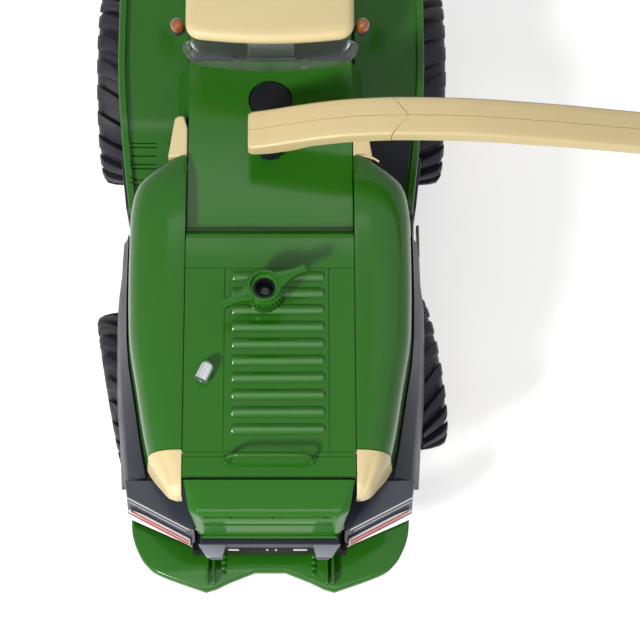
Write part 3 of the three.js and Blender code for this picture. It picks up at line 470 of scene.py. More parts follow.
def inset_outline(outline, inset):
    """A counter-clockwise plan outline, drawn in by so much all round."""
    n, moved = len(outline), []
    for i, (x, y) in enumerate(outline):
        before, after = Vector(outline[i - 1]), Vector(outline[(i + 1) % n])
        here = Vector((x, y))
        a, b = (here - before).normalized(), (after - here).normalized()
        normal = (Vector((-a.y, a.x)) + Vector((-b.y, b.x))).normalized()
        reach = inset / max(normal.dot(Vector((-a.y, a.x))), 0.5)
        moved.append((x + normal.x * reach, y + normal.y * reach))
    return moved


def stacked(name, outline, levels):
    """A solid from one plan outline at rising heights, each (z, inset)."""
    return loft(name, [[(x, y, z) for x, y in inset_outline(outline, inset)] for z, inset in levels])


def placed(x, y, z, turn=0.0):
    """Where a piece drawn round its own origin goes, yawed first."""
    return Matrix.Translation(at(x, y, z)) @ Matrix.Rotation(turn, 4, "Z")


def prism(name, outline, z0, z1, place, soft, segments=2):
    """A flat outline in millimetres with a height, rounded and placed."""
    n = len(outline)
    points = [Vector((x, y, z)) * MM for z in (z0, z1) for x, y in outline]
    faces = [tuple(range(n - 1, -1, -1)), tuple(range(n, 2 * n))]
    faces += [(i, (i + 1) % n, (i + 1) % n + n, i + n) for i in range(n)]
    made = mesh_object(name, points, faces)
    made.data.transform(place)
    return softened(outward(made), soft, segments)


def sweep(name, path, radius, sides=12):
    """A round bar through machine points, with flat ends."""
    points = [Vector(p) for p in path]
    rings = []
    for i, p in enumerate(points):
        ahead = (points[min(i + 1, len(points) - 1)] - points[max(i - 1, 0)]).normalized()
        across = ahead.orthogonal() if abs(ahead.y) > 0.9 else ahead.cross(Vector((0, 1, 0))).normalized()
        other = ahead.cross(across).normalized()
        turns = [2 * math.pi * k / sides for k in range(sides)]
        rings.append([p + radius * (math.cos(turn) * across + math.sin(turn) * other) for turn in turns])
    return loft(name, rings)


# ---- repeats, made by one geometry tree ----
def repeat_tree():
    """Copies a piece along a step, turning each copy a little more than the last."""
    tree = bpy.data.node_groups.new("repeated_piece", "GeometryNodeTree")
    kinds = {"Piece": "Object", "Count": "Int", "Step": "Vector", "Turn": "Vector", "Finish": "Material"}
    sockets(tree, "INPUT", Geometry="Geometry", **kinds)
    sockets(tree, "OUTPUT", Geometry="Geometry")
    new, link = tree.nodes.new, tree.links.new
    start, end = new("NodeGroupInput"), new("NodeGroupOutput")
    piece = new("GeometryNodeObjectInfo")
    link(start.outputs["Piece"], piece.inputs["Object"])
    index = new("GeometryNodeInputIndex")
    place, turn = new("ShaderNodeVectorMath"), new("ShaderNodeVectorMath")
    for node, source in ((place, "Step"), (turn, "Turn")):
        node.operation = "SCALE"
        link(start.outputs[source], node.inputs[0])
        link(index.outputs["Index"], node.inputs["Scale"])
    points = new("GeometryNodePoints")
    link(start.outputs["Count"], points.inputs["Count"])
    link(place.outputs["Vector"], points.inputs["Position"])
    copies = new("GeometryNodeInstanceOnPoints")
    link(points.outputs[0], copies.inputs["Points"])
    link(piece.outputs["Geometry"], copies.inputs["Instance"])
    link(turn.outputs["Vector"], copies.inputs["Rotation"])
    real = new("GeometryNodeRealizeInstances")
    link(copies.outputs["Instances"], real.inputs["Geometry"])
    coat = new("GeometryNodeSetMaterial")
    link(real.outputs["Geometry"], coat.inputs["Geometry"])
    link(start.outputs["Finish"], coat.inputs["Material"])
    link(coat.outputs["Geometry"], end.inputs["Geometry"])
    return tree


REPEAT = repeat_tree()


def repeated(name, piece, count, finish, step=(0, 0, 0), turn=(0, 0, 0), place=None):
    """A row or ring of one piece, as plain mesh; the single piece is used up."""
    host = mesh_object(name, [], [])
    row = host.modifiers.new("row", "NODES")
    row.node_group = REPEAT
    step = tuple(s * MM for s in step)
    values = {"Piece": piece, "Count": count, "Step": step, "Turn": turn, "Finish": finish}
    for item in REPEAT.interface.items_tree:
        if item.in_out == "INPUT" and item.name in values:
            row[item.identifier] = values[item.name]
    baked(host)
    bpy.data.objects.remove(piece)
    if place is not None:
        host.data.transform(place)
    return host


def block(name, x0, x1, y0, y1, z0, z1, soft=0.2, segments=2):
    """A small moulded block with rounded edges, from its machine sizes."""
    corners = [at(x, y, z) for z in (z0, z1) for y in (y0, y1) for x in (x0, x1)]
    return softened(outward(mesh_object(name, corners, BOX_FACES)), soft, segments)


# ---- hood sides and their caps ----
# a hood side's reach, as (y, share of the way from the centre hood to its widest)
SIDE_SHARES = [(CAP_REAR_Y, 0.1), (CAP_REAR_Y + 1, 0.22), (CAP_REAR_Y + 5, 0.38), (CAP_Y - 4, 0.5)]
SIDE_SHARES += [(CAP_Y, 0.6), (-22, 0.802), (-1, 0.977), (18, 1), (32, 0.994)]
SIDE_SHARES += [
    (HOOD_FRONT_Y - back, share)
    for back, share in ((12, 0.953), (8, 0.884), (4, 0.686), (1.2, 0.453), (0, 0.302))
]
SIDE_HALF = [(y, DECK_HALF + share * (SIDE_HALF_W - DECK_HALF)) for y, share in SIDE_SHARES]
SIDE_TOP = [(CAP_REAR_Y, HOOD_REAR_Z - 2.6), (CAP_REAR_Y + 3, HOOD_REAR_Z - 0.9), (CAP_Y, HOOD_REAR_Z)]
SIDE_TOP += [(CREASE_Y, HOOD_Z), (HOOD_FRONT_Y - 12, HOOD_Z - 0.6), (HOOD_FRONT_Y, HOOD_Z - 3.6)]
SIDE_LOW = [(CAP_REAR_Y, HOOD_Z - 10), (CAP_Y, SIDE_BOTTOM + 2), (CAP_Y + 6, SIDE_BOTTOM)]


def hood_ring(y, side, dent=0.0):
    """The section of a hood side: a rounded shoulder over a near-upright skirt, with its wall."""
    half, top, low = along(SIDE_HALF, y), along(SIDE_TOP, y), along(SIDE_LOW, y)
    shoulder = max(SIDE_Z, low + 2)
    inner = DECK_HALF + GAP

    def skin(inset):
        arc = []
        square = 0.8 - 0.25 * max(0, min(1, (CAP_Y - y) / 8))  # the cap's shoulder is squarer
        for a in spread(0, math.pi / 2, 30):
            share = math.sin(a) ** square
            valley = dent * math.exp(-(((share - 0.5) / 0.16) ** 2))
            rise = (top - inset - shoulder) * max(math.cos(a), 0) ** square
            arc.append((inner + (half - inset - inner) * share, shoulder + rise - valley))
        return arc + [(half - inset + (shoulder - low) / 12, low)]

    return [(side * x, y, z) for x, z in skin(0) + skin(WALL)[::-1]]


NOSE = [HOOD_FRONT_Y - back for back in (12, 10, 8, 6.6, 5.4, 4.4, 3.4, 2.6, 1.9, 1.2, 0.6, 0.2, 0)]
CAP_DENT = 0.5  # how deep the valley along a cap runs
for word, side in reversed(SIDES):
    panel = loft("hood_side_panel_" + word, [hood_ring(y, side) for y in spread(CAP_Y + GAP, 36, 40) + NOSE])
    softened(panel, 0.25, 2, 50)
    dressed(panel, GLOSS_GREEN, "hood_side_" + word)
    dents = [(y, CAP_DENT * (1 - ((y - CAP_REAR_Y - 6) / 7) ** 2)) for y in spread(CAP_Y, CAP_REAR_Y, 24)]
    cap = loft("hood_cap_shell_" + word, [hood_ring(y, side, dent) for y, dent in dents])
    softened(cap, 0.45, 3, 50)
    dressed(cap, SATIN_CREAM, "hood_cap_" + word)

# ---- centre hood with its panel lines ----
lx0, lx1 = -11.0, 15.9  # the louvres' two ends
PANEL_X = (-13.0, 17.0)
PANEL_FRONT_Y, PANEL_REAR_Y = 13.8, -41.35
LINE = 0.11  # half width of a panel line
LINE_DEEP = 0.2


def hood_top(y):
    """Height of the centre hood's top at y."""
    crest = CREASE_Y - 4
    return HOOD_Z + (crest - y) / (crest - HOOD_REAR_Y) * (HOOD_REAR_Z - HOOD_Z)


cross_lines = [
    (-DECK_HALF - 1, DECK_HALF + 1, y - LINE, y + LINE, hood_top(y) - LINE_DEEP, hood_top(y) + 2)
    for y in (PANEL_FRONT_Y, PANEL_REAR_Y, PANEL_REAR_Y - 1.4)
]
length_lines = [
    (x - LINE, x + LINE, PANEL_REAR_Y, PANEL_FRONT_Y, hood_top(PANEL_REAR_Y) - LINE_DEEP, HOOD_Z + 2)
    for x in PANEL_X
]
from_node("hood_centre", GLOSS_GREEN, 0.1, grooves=cross_lines + length_lines)

# ---- louvres: a rear-facing slope with hipped ends, and a thin strip of painted shadow at the foot of each ----
LOUVRE_PITCH = 5.114
LOUVRE_COUNT = 10
LOUVRE_FRONT_Y = 10.85
louvre_z = hood_top(LOUVRE_FRONT_Y)
louvre_section = [(2.6, -0.15), (0.95, 0.72), (0.75, 0.75), (-0.8, -0.02), (-0.95, -0.15)]
louvre_ends = [(lx0, 0.2), (lx0 + 0.35, 0.85), (lx0 + 0.7, 1), (lx1 - 0.8, 1), (lx1 - 0.4, 0.9), (lx1, 0.2)]
louvre = loft(
    "louvre",
    [
        [(x, LOUVRE_FRONT_Y + y * grow, louvre_z - 0.15 + (z + 0.15) * grow) for y, z in louvre_section]
        for x, grow in louvre_ends
    ],
)
softened(louvre, 0.08, 2, 20)
fall = (HOOD_Z - HOOD_REAR_Z) / (CREASE_Y - 4 - HOOD_REAR_Y) * LOUVRE_PITCH
row = repeated("louvre_row", louvre, LOUVRE_COUNT, GLOSS_GREEN, step=(0, -LOUVRE_PITCH, -fall))
rides_with(shaded(row), "hood_centre", False)
# a thin dark green strip at the foot of each louvre's rear slope is painted shadow
shadow_strip_y, shadow_strip_z = (LOUVRE_FRONT_Y - 1.3, LOUVRE_FRONT_Y - 1.05), (louvre_z - 0.2, louvre_z + 0.05)
sill = block("sill", lx0 + 0.5, lx1 - 0.6, *shadow_strip_y, *shadow_strip_z, 0.03)
row = repeated("louvre_sills", sill, LOUVRE_COUNT, SHADOW_GREEN, step=(0, -LOUVRE_PITCH, -fall))
rides_with(row, "hood_centre", False)

# ---- painted shade: matt black blocks under the seams of the hood, so that the gaps read dark ----
for name, x0, x1, y0, y1, z in (
    ("left", -26.4, -22.5, HOOD_REAR_Y - 1, CAP_Y + 0.2, 90.8),
    ("right", 22.5, 26.4, HOOD_REAR_Y - 1, CAP_Y + 0.2, 90.8),
    ("rear", -23.6, 23.6, HOOD_REAR_Y - 2.6, HOOD_REAR_Y + 1, 90.8),
    ("nose_left", -26.4, -22.5, 20.0, 29.0, 86.6),
    ("nose_right", 22.5, 26.4, 20.0, 29.0, 86.6),
):
    # each block is painted shade in a gap and stands for no part of the machine
    added(block("seam_backing_" + name, x0, x1, y0, y1, z - 1, z, 0.2), MATT_BLACK, "engine_block")

# ---- centre deck, with the thin rim of its well ----
DECK_LINE_Y = (28.2, 28.5)
deck_line = (-DECK_HALF - 1, DECK_HALF + 1, *DECK_LINE_Y, DECK_Z - 0.35, DECK_Z + 3)
from_node("centre_deck", GLOSS_GREEN, 0.12, grooves=[deck_line])
from_node("well_disc", MATT_BLACK, 0.15)
RIM = [(6.62, -0.5), (6.62, 0.06), (6.8, 0.12), (6.98, 0.06), (6.98, -0.5)]
added(lathe("well_rim", RIM, placed(0, WELL_Y, DECK_Z) @ UPRIGHT, 96), GLOSS_GREEN, "centre_deck")

# ---- front decks, with the tread ribs of the left one ----
FRONT_DECK_Y0, SLOPE_Y, FENDER_Z = 46.0, 75.4, 68.0
TREAD_X = (-43.4, -35.4)
TREAD_LINES_Y = (66.6, 65.3, 62.6, 60.0, 58.7, 55.2, 53.7)
TREAD_DEEP = 0.5


def deck_top(y):
    """Height of a front deck's tread at y, on its slope to the rear."""
    return FENDER_Z - 5 * (SLOPE_Y - y) / (SLOPE_Y - FRONT_DECK_Y0)


tread = [(*TREAD_X, y - 0.2, y + 0.2, deck_top(y) - TREAD_DEEP, deck_top(y) + 3) for y in TREAD_LINES_Y]
from_node("front_deck_left", GLOSS_GREEN, 0.12, grooves=tread)
from_node("front_deck_right", GLOSS_GREEN, 0.3)
for number, y in enumerate(TREAD_LINES_Y[1::3], 1):
    top = deck_top(y)
    rib = block(f"tread_rib_{number}", *TREAD_X, y - 0.9, y - 0.3, top - 0.4, top + 0.5, 0.18)
    added(rib, GLOSS_GREEN, "front_deck_left")
from_node("deck_cover_right", SATIN_ANTHRACITE, 0.3)

# ---- cream blocks at the hood's nose ----
for word, _ in SIDES:
    from_node("hood_block_" + word, SATIN_CREAM, 0.5)
vent = block("block_vent", -30.3, -29.6, 52.2, 57.4, 83.0, 88.5, 0.15)
added(vent, MATT_BLACK, "hood_block_left")
nose_path = [(25.2, 51.5), (27.6, 51.5), (29.4, 51.3), (31.0, 50.8), (32.4, 50.0)]
nose_lip = sweep("nose_lip", [(x, y, 91.4 - 0.02 * (x - 25) ** 2) for x, y in nose_path], 0.32, 10)
added(nose_lip, SATIN_CREAM, "hood_block_right")

# ---- wheels: carcass, lugs, rim with its nuts and cap ----
def tyre_skin(radius, width, bead):
    """Closed section of a tyre's carcass under its lugs, as (radius, x)."""
    h = width / 2
    half = [(bead, h - 1.2), (bead + 1, h - 0.3), (bead + 2.2, h), (radius - 6.5, h - 0.1)]
    half += [(radius - 4.2, h - 0.9), (radius - 2.9, h - 2.2), (radius - 2.3, h - 4), (radius - 2.1, 0)]
    return half + [(r, -x) for r, x in reversed(half[:-1])]


def lug(radius, width, side, bar, lead):
    """One curved lug from the middle of the tread to the shoulder, round the X axis."""
    h = width / 2
    crown = [(0.0, radius), (0.35, radius), (0.7, radius - 0.2), (0.9, radius - 0.8), (1.0, radius - 2.4)]
    tops, feet = [], []
    for t, r in crown:
        x = side * (0.2 + t * (h - 0.35))
        middle = lead * t**0.85
        for edge in (-1, 1):
            a = middle + edge * bar * (1 + 0.35 * t) / (2 * radius)
            b = middle + edge * (bar * (1 + 0.35 * t) + 0.9) / (2 * radius)
            tops.append(Vector((x, r * math.sin(a), r * math.cos(a))) * MM)
            foot = min(r, radius - 1.6) - 1.2
            feet.append(Vector((x, foot * math.sin(b), foot * math.cos(b))) * MM)
    n = len(tops)
    faces = []
    for i in range(0, n - 2, 2):
        faces += [(i, i + 1, i + 3, i + 2), (n + i, n + i + 2, n + i + 3, n + i + 1)]
        faces += [(i, i + 2, n + i + 2, n + i), (i + 1, n + i + 1, n + i + 3, i + 3)]
    faces += [(0, n, n + 1, 1), (n - 2, n - 1, 2 * n - 1, 2 * n - 2)]
    return softened(outward(mesh_object("lug", tops + feet, faces)), 0.3, 2, 40)


NUTS, NUT_R = 8, 0.62


def wheel(end, word, size, place, side):
    """Dresses one wheel: the tyre with its two rows of lugs, and the rim with nuts and a hub cap."""
    radius, width, bead, count = (size[key] for key in ("radius", "width", "bead", "count"))
    carcass = lathe(f"{end}_tyre_carcass_{word}", tyre_skin(radius, width, bead), place, 96)
    rows = []
    for half in (1, -1):
        first = lug(radius, width, half, size["bar"], size["lead"])
        if half < 0:
            first.data.transform(Matrix.Rotation(math.pi / count, 4, "X"))
        rows.append(repeated("lugs", first, count, TYRE_RUBBER, turn=(2 * math.pi / count, 0, 0), place=place))
    tyre = joined(f"{end}_tyre_tread_{word}", [carcass] + rows)
    dressed(tyre, TYRE_RUBBER, f"{end}_tyre_{word}", 34)
    from_node(f"{end}_rim_{word}", SATIN_CREAM, 0.3, 3)
    face = width / 2 - 4
    outwards = place @ Matrix.Scale(side, 4, (1, 0, 0))
    profile = [(0, face), (3.4, face), (3.4, face + 0.9), (2.9, face + 1.5), (1.4, face + 1.9), (0, face + 2.0)]
    cap = lathe(f"{end}_hub_cap_{word}", profile, outwards, 40)
    added(outward(cap), SATIN_CREAM, f"{end}_rim_{word}")
    corners = [(NUT_R * math.cos(k * math.pi / 3), NUT_R * math.sin(k * math.pi / 3)) for k in range(6)]
    nut = prism("nut", corners, 0, 0.8, Matrix(), 0.1)
    nut_ring = bead * 0.42
    nut.data.transform(Matrix.Translation((0, 0, nut_ring * MM)) @ Matrix.Rotation(math.pi / 2, 4, "Y"))
    nut_face = outwards @ Matrix.Translation(((width / 2 - 4.1) * MM, 0, 0))
    turn = (2 * math.pi / NUTS, 0, 0)
    nuts = repeated(f"{end}_rim_nuts_{word}", nut, NUTS, SILVER_LACQUER, turn=turn, place=nut_face)
    rides_with(shaded(outward(nuts)), f"{end}_rim_{word}", False)


for word, side in reversed(SIDES):
    middle = FRONT_TYRE["out"] - FRONT_TYRE["width"] / 2
    wheel("front", word, FRONT_TYRE, placed(side * middle, FRONT_AXLE_Y, FRONT_TYRE["radius"]), side)
    reach = side * (REAR_TYRE["out"] - REAR_TYRE["width"] / 2 - KINGPIN_X) * MM
    hub = placed(side * KINGPIN_X, REAR_AXLE_Y, REAR_TYRE["radius"], STEER) @ Matrix.Translation((reach, 0, 0))
    wheel("rear", word, REAR_TYRE, hub, side)

# ---- spout: a channel whose two halves meet in a seam along its top ----
SPOUT_RISE = [(-6.4, 7.2), (0, 9.2), (6, 11.4), (15, 14.4), (24, 16.4), (38, 17.6), (52, 17.2), (80, 13.4)]
SPOUT_TOP = [(x, TILT_Z + rise) for x, rise in SPOUT_RISE + [(100, 9.4), (SPOUT_LEN, 5.6)]]
SPOUT_DEPTH = [(-6.4, 4.0), (0, 5.4), (6, 5.6), (12, 4.6), (SPOUT_LEN, 4.2)]
SPOUT_WALL = 1.3
SPOUT_SOFT = 0.9
SEAM_DEEP = 0.5
ARROW = 5.0  # how far the joint's point reaches along the seam
ARROW_START, JOINT_X, ARROW_END = 22, 35.0, 54  # where the point begins, the joint, and where it has gone
JOINT_GAP = 0.28


def spout_ring(x, arrow=0.0, half=SPOUT_W / 2):
    """The channel's section; arrow carries the middle of the section further out."""
    wave = 0.07 * math.sin(x * 0.55) + 0.05 * math.sin(x * 1.7)
    outer = [(half, None), (half, SPOUT_SOFT)]
    for a in spread(0.3, math.pi / 2, 3):
        outer.append((half - SPOUT_SOFT * (1 - math.cos(a)), SPOUT_SOFT * (1 - math.sin(a))))
    outer.append((half * 0.5, -0.06))
    groove = [(wave + 0.11, -0.08), (wave, SEAM_DEEP), (wave - 0.11, -0.08)]
    bore = half - SPOUT_WALL
    inner = [(bore, None), (bore, SPOUT_WALL + 0.8), (bore - 0.8, SPOUT_WALL)]
    far_side = [(-y, down) for y, down in outer[::-1] + inner]
    points = []
    for y, down in outer + groove + far_side + inner[::-1]:
        px = x + arrow * (1 - min(abs(y) / half, 1))
        depth = along(SPOUT_DEPTH, min(px, SPOUT_LEN)) if down is None else down
        points.append((px, SPOUT_Y + y, along(SPOUT_TOP, min(px, SPOUT_LEN)) - depth))
    return points


def arrow_at(x, start, end):
    """How far the point has grown at x, from nothing at start to all of it at end."""
    return ARROW * min(max((x - start) / (end - start), 0), 1) ** 1.5


root_inset = [(-6.4, 0.9), (-6.1, 0.45), (-5.6, 0.15), (-4.9, 0)]
rings = [spout_ring(x, 0, SPOUT_W / 2 - inset) for x, inset in root_inset]
rings += [spout_ring(x, arrow_at(x, ARROW_START, JOINT_X)) for x in spread(-4, JOINT_X, 52)]
pieces = [
    loft("spout_channel", rings),
    block("root_wall", -6.2, -5.0, SPOUT_Y - 5.5, SPOUT_Y + 5.5, TILT_Z + 3.8, TILT_Z + 6.9, 0.3),
    block("lug_stem", -2.2, 2.2, SPOUT_Y - 2, SPOUT_Y + 2, TILT_Z - 0.2, TILT_Z + 7.8, 0.5),
]
across_spout = placed(0, SPOUT_Y, TILT_Z) @ Matrix.Rotation(math.pi / 2, 4, "Z")
pieces.append(lathe("lug_eye", [(1.3, -2), (2.2, -2), (2.2, 2), (1.3, 2)], across_spout, 40))
dressed(joined("spout_channel", pieces), SPOUT_CREAM, "spout", 30)
arm_x = JOINT_X + JOINT_GAP
arm = [spout_ring(x, arrow_at(x, ARROW_END, arm_x)) for x in spread(arm_x, SPOUT_LEN, 96)]
dressed(loft("spout_arm_channel", arm), SPOUT_CREAM, "spout_extension", 30)
from_node("spout_flap", SPOUT_CREAM, 0.3)
from_node("spout_turret", MATT_BLACK, 0.3)

# ---- rear corners and their light strips ----
BLOCK_HALF = 21.0
CORNER_TOP, CORNER_FOOT = SIDE_BOTTOM - GAP, 64.0
CORNER_UPPER = (Vector((SIDE_HALF_W - 0.2, -48, CORNER_TOP)), Vector((BLOCK_HALF + 0.6, -58.4, CORNER_TOP)))
CORNER_LOWER = (Vector((SIDE_HALF_W, -50.6, CORNER_FOOT)), Vector((BLOCK_HALF + 0.6, -61.2, CORNER_FOOT)))
FACE_OUT = (CORNER_UPPER[1] - CORNER_UPPER[0]).cross(CORNER_LOWER[0] - CORNER_UPPER[0]).normalized()
if FACE_OUT.y > 0:
    FACE_OUT.negate()


def on_corner(side, across, down, off):
    """A point of a corner's sloped rear face, from the outer end inwards, down from its top, off the face."""
    p = CORNER_UPPER[0].lerp(CORNER_UPPER[1], across).lerp(CORNER_LOWER[0].lerp(CORNER_LOWER[1], across), down)
    p = p + FACE_OUT * off
    return (side * p.x, p.y, p.z)


def strip(name, side, ends, downs, offs, taper=1.0):
    """A flat bar along a corner's face; taper narrows its outer end."""
    (a0, a1), (d0, d1), (o0, o1) = ends, downs, offs
    rings = []
    for across in spread(a0, a1, 12):
        grow = taper + (1 - taper) * min((across - a0) / 0.2, 1)
        middle, half = (d0 + d1) / 2, (d1 - d0) / 2 * grow
        corners = [(middle - half, o0), (middle + half, o0), (middle + half, o1), (middle - half, o1)]
        rings.append([on_corner(side, across, d, o) for d, o in corners])
    return loft(name, rings)


# silver lines on a corner: their ends, their span down the face and their height off it
CORNER_LINES = (
    ("corner_edge_", (0.0, 0.92), (0.0, 0.07), (-0.02, 0.14)),
    ("corner_line_", (0.02, 0.86), (0.22, 0.26), (-0.02, 0.1)),
    ("light_rim_", (0.01, 0.96), (0.92, 0.97), (-0.02, 0.5)),
)
for word, side in SIDES:
    from_node("rear_corner_" + word, CORNER_ANTHRACITE, 0.35)
    lens = softened(strip("lens", side, (0.03, 0.94), (0.5, 0.88), (GAP, 0.9), 0.4), 0.2)
    dressed(lens, LIGHT_WHITE, "tail_light_" + word)
    for number, span in enumerate(((0.54, 0.66), (0.72, 0.84)), 1):
        stripe = strip(f"light_stripe_{word}_{number}", side, (0.07, 0.93), span, (0.85, 0.98), 0.6)
        added(stripe, LIGHT_RED, "tail_light_" + word)
    for name, ends, span, off in CORNER_LINES:
        added(strip(name + word, side, ends, span, off), SILVER_LACQUER, "rear_corner_" + word)
    from_node("rear_fender_" + word, SATIN_ANTHRACITE, 0.3)
    from_node("side_skirt_" + word, SATIN_ANTHRACITE, 0.3)

# ---- tail panel: chamfered sides, a rounded bend and two slots ----
TAIL = [
    # (y, z, inset from the deck's half width, chamfer width)
    (HOOD_REAR_Y - 0.8, TAIL_TOP_Z, 0.2, 0.9),
    (-52.0, TAIL_TOP_Z - 0.65, 0.8, 1.3),
    (-55.0, TAIL_TOP_Z - 1.25, 1.3, 1.9),
    (TAIL_BEND_Y + 0.8, TAIL_TOP_Z - 1.6, 1.7, 2.3),
    (TAIL_BEND_Y, TAIL_TOP_Z - 1.85, 1.8, 2.5),
    (TAIL_BEND_Y - 0.6, TAIL_TOP_Z - 2.2, 1.9, 2.6),
    (TAIL_BEND_Y - 1.1, TAIL_TOP_Z - 2.75, 2.0, 2.7),
    (TAIL_BEND_Y - 1.45, TAIL_TOP_Z - 3.5, 2.1, 2.8),
    (-59.7, 88.6, 2.5, 2.8),
    (-60.3, 85.2, 3.0, 2.6),
    (TAIL_LOW_Y + 0.35, 80.0, 3.7, 2.2),
    (TAIL_LOW_Y, TAIL_LOW_Z, 4.0, 2.0),
]
TAIL_WALL = 1.4


def tail_ring(index):
    """The tail panel's section: flat middle, chamfers that fall away from it, and the inside."""
    y, z, inset, chamfer = TAIL[index]
    half = DECK_HALF - inset
    before, after = TAIL[max(index - 1, 0)], TAIL[min(index + 1, len(TAIL) - 1)]
    run = Vector((0, after[0] - before[0], after[1] - before[1])).normalized()
    inward = Vector((0, -run.z, run.y))
    if inward.z > 0 and abs(inward.z) > 0.3 or inward.y < 0:
        inward.negate()

    def point(x, deep):
        return (x, y + inward.y * deep, z + inward.z * deep)

    fall = chamfer * 0.6
    outer = [(half - chamfer - 0.5, 0), (half - chamfer, 0.06), (half, fall)]
    outer = [(-x, deep) for x, deep in outer[::-1]] + outer
    inner = [(half - 0.2, fall + TAIL_WALL * 0.6), (half - chamfer, TAIL_WALL)]
    inner += [(-x, deep) for x, deep in inner[::-1]]
    return [point(x, deep) for x, deep in outer + inner]


TAIL_SLOTS = ((89.9, 91.2), (85.6, 86.9))
SLOT_X = (-18.3, 17.6)
SLOT_DEEP_Y, SLOT_LEAN = -58.75, 0.19  # the upper slot's bottom, and how the lower one's follows the slope
tail = loft("tail_panel_skin", [tail_ring(i) for i in range(len(TAIL))])
slot_top = TAIL_SLOTS[0][1]
bottoms = [SLOT_DEEP_Y - (slot_top - z1) * SLOT_LEAN for _, z1 in TAIL_SLOTS]
grooved(tail, [(*SLOT_X, TAIL_LOW_Y - 2, y, *heights) for y, heights in zip(bottoms, TAIL_SLOTS)])
softened(tail, 0.22, 2, 20)
dressed(tail, GLOSS_GREEN, "tail_panel", 24)
LIP_HALF = DECK_HALF - 5.2
lip_path = [(x, TAIL_LOW_Y - 0.05, TAIL_LOW_Z + 0.7) for x in spread(-LIP_HALF, LIP_HALF, 24)]
added(sweep("tail_lip", lip_path, 0.5, 14), GLOSS_GREEN, "tail_panel")
for number, (x0, x1) in enumerate(((-14.3, -10.9), (11.5, 15.7), (0.0, 0.9)), 1):
    boss = block(f"tail_boss_{number}", x0, x1, -59.75, -58.7, 90.0, 91.0, 0.4, 3)
    added(boss, GLOSS_GREEN, "tail_panel")

# ---- crossbar, the dark wall under it with painted shade, and the counterweight ----
from_node("rear_crossbar", SATIN_ANTHRACITE, 0.4, 3)
BAR_REAR_Y, BAR_TOP = TAIL_LOW_Y - 2, TAIL_LOW_Z - GAP
# lighter plates on the crossbar's tabs: the same plastic, painted lighter for the sheen where the tabs face the
# sky
TAB = [(20.3, 0.1), (17.8, -3.7), (13.4, -3.7), (12.4, 0.1)]
TAB_LEVELS = [(BAR_TOP - 0.9, 0.0), (BAR_TOP - 0.45, 0.0), (BAR_TOP - 0.35, 0.15)]
for word, s in SIDES:
    plan = [(s * x, BAR_REAR_Y + y) for x, y in (TAB if s < 0 else TAB[::-1])]
    plate = stacked("bar_tab_plate_" + word, plan, TAB_LEVELS)
    added(outward(plate), SHEEN_ANTHRACITE, "rear_crossbar")
WALL_Y, END_Y = (TAIL_LOW_Y - 0.75, TAIL_BEND_Y + 0.7), (TAIL_LOW_Y - 0.9, TAIL_BEND_Y + 1.5)
# the wall is a black part, painted darker than the plain black for the shade under the crossbar
valance = block("rear_valance_wall", -20.6, 20.6, *WALL_Y, 61.5, TAIL_LOW_Z - 4.7, 0.3)
dressed(valance, SHADE_BLACK, "rear_valance")
# the end blocks only fill the gaps beside the wall with painted shade
for word, s in SIDES:
    backing = block("valance_end_" + word, *sorted((s * 20.4, s * 22.4)), *END_Y, 60.0, 66.0, 0.2)
    added(backing, SHADE_BLACK, "rear_valance")
for number, (x0, x1) in enumerate(((-12.0, -8.9), (6.8, 10.9), (-1.0, -0.4), (1.5, 2.1)), 1):
    mark = block(f"valance_mark_{number}", x0, x1, TAIL_LOW_Y - 1.1, TAIL_LOW_Y - 0.7, 66.4, 67.2, 0.08)
    added(mark, LIGHT_WHITE, "rear_valance")
LOBE = [(0, -48.8), (0.5, -54), (2.3, -59), (4.8, -62.8), (9.2, -66)]
LOBE = [(SIDE_HALF_W - inset, y) for inset, y in LOBE] + [(19.0, -70.9)]
NOTCH = [(16.0, -70.0), (12.0, -68.0), (4.5, -65.0)]
WEIGHT_FRONT_Y = -58.9
WEIGHT_TOP, WEIGHT_FOOT = 50.0, 40.0
TONGUE_HALF = 19.0  # half of the part that reaches forwards between the ribs
right_edge = curve_through(LOBE) + NOTCH
outline = right_edge + [(-x, y) for x, y in reversed(right_edge)]
outline += [(-TONGUE_HALF, WEIGHT_FRONT_Y), (TONGUE_HALF, WEIGHT_FRONT_Y)]
levels = [(WEIGHT_FOOT, 2.6), (46.4, 0.35), (47.4, 0.0), (49.1, 0.0), (49.6, 0.25), (WEIGHT_TOP, 0.8)]
weight = stacked("counterweight_slab", outline[::-1], levels)
RIB_YZ = (-69.0, WEIGHT_FRONT_Y - 1, 49.0, 53.0)
ribs = [
    block("rib", *sorted((s * (TONGUE_HALF - near), s * (TONGUE_HALF - far))), *RIB_YZ, 0.25)
    for s in (1, -1)
    for near, far in ((0.9, 0.0), (2.8, 1.9))
]
weight = joined("counterweight_slab", [weight] + ribs)
dressed(weight, GLOSS_GREEN, "counterweight")
BOLT = [(0, -0.3), (0.75, -0.3), (0.75, 0.5), (0.45, 0.75), (0, 0.8)]
for word, x in (("left", -13.8), ("right", 12.9)):
    bolt = lathe("bolt", BOLT, placed(0, 0, 0) @ UPRIGHT, 20)
    bolt.data.transform(Matrix.Translation(at(x, -60.3, WEIGHT_TOP) - at(0, 0, 0)))
    bolts = repeated("weight_bolts_" + word, bolt, 4, GLOSS_GREEN, step=(0, -1.75, 0))
    rides_with(shaded(bolts), "counterweight", False)

# ---- knob on the hood: toothed ring with two arms, a bore and a slotted screw ----
RING_R = 5.3
BORE_R = 3.9
TEETH = 30
knob_place = placed(*KNOB, 0, KNOB_TURN)
knob_boss_top = hood_top(KNOB[1]) + 1.1  # above the louvres, which run under the knob
knob_foot = knob_boss_top + GAP
boss_level = knob_boss_top - 1.4
BOSS = [(0, boss_level), (4.3, boss_level), (4.3, knob_boss_top - 0.2), (4.1, knob_boss_top)]
BOSS.append((0, knob_boss_top))
added(lathe("knob_boss", BOSS, knob_place @ UPRIGHT, 48), GLOSS_GREEN, "hood_centre")
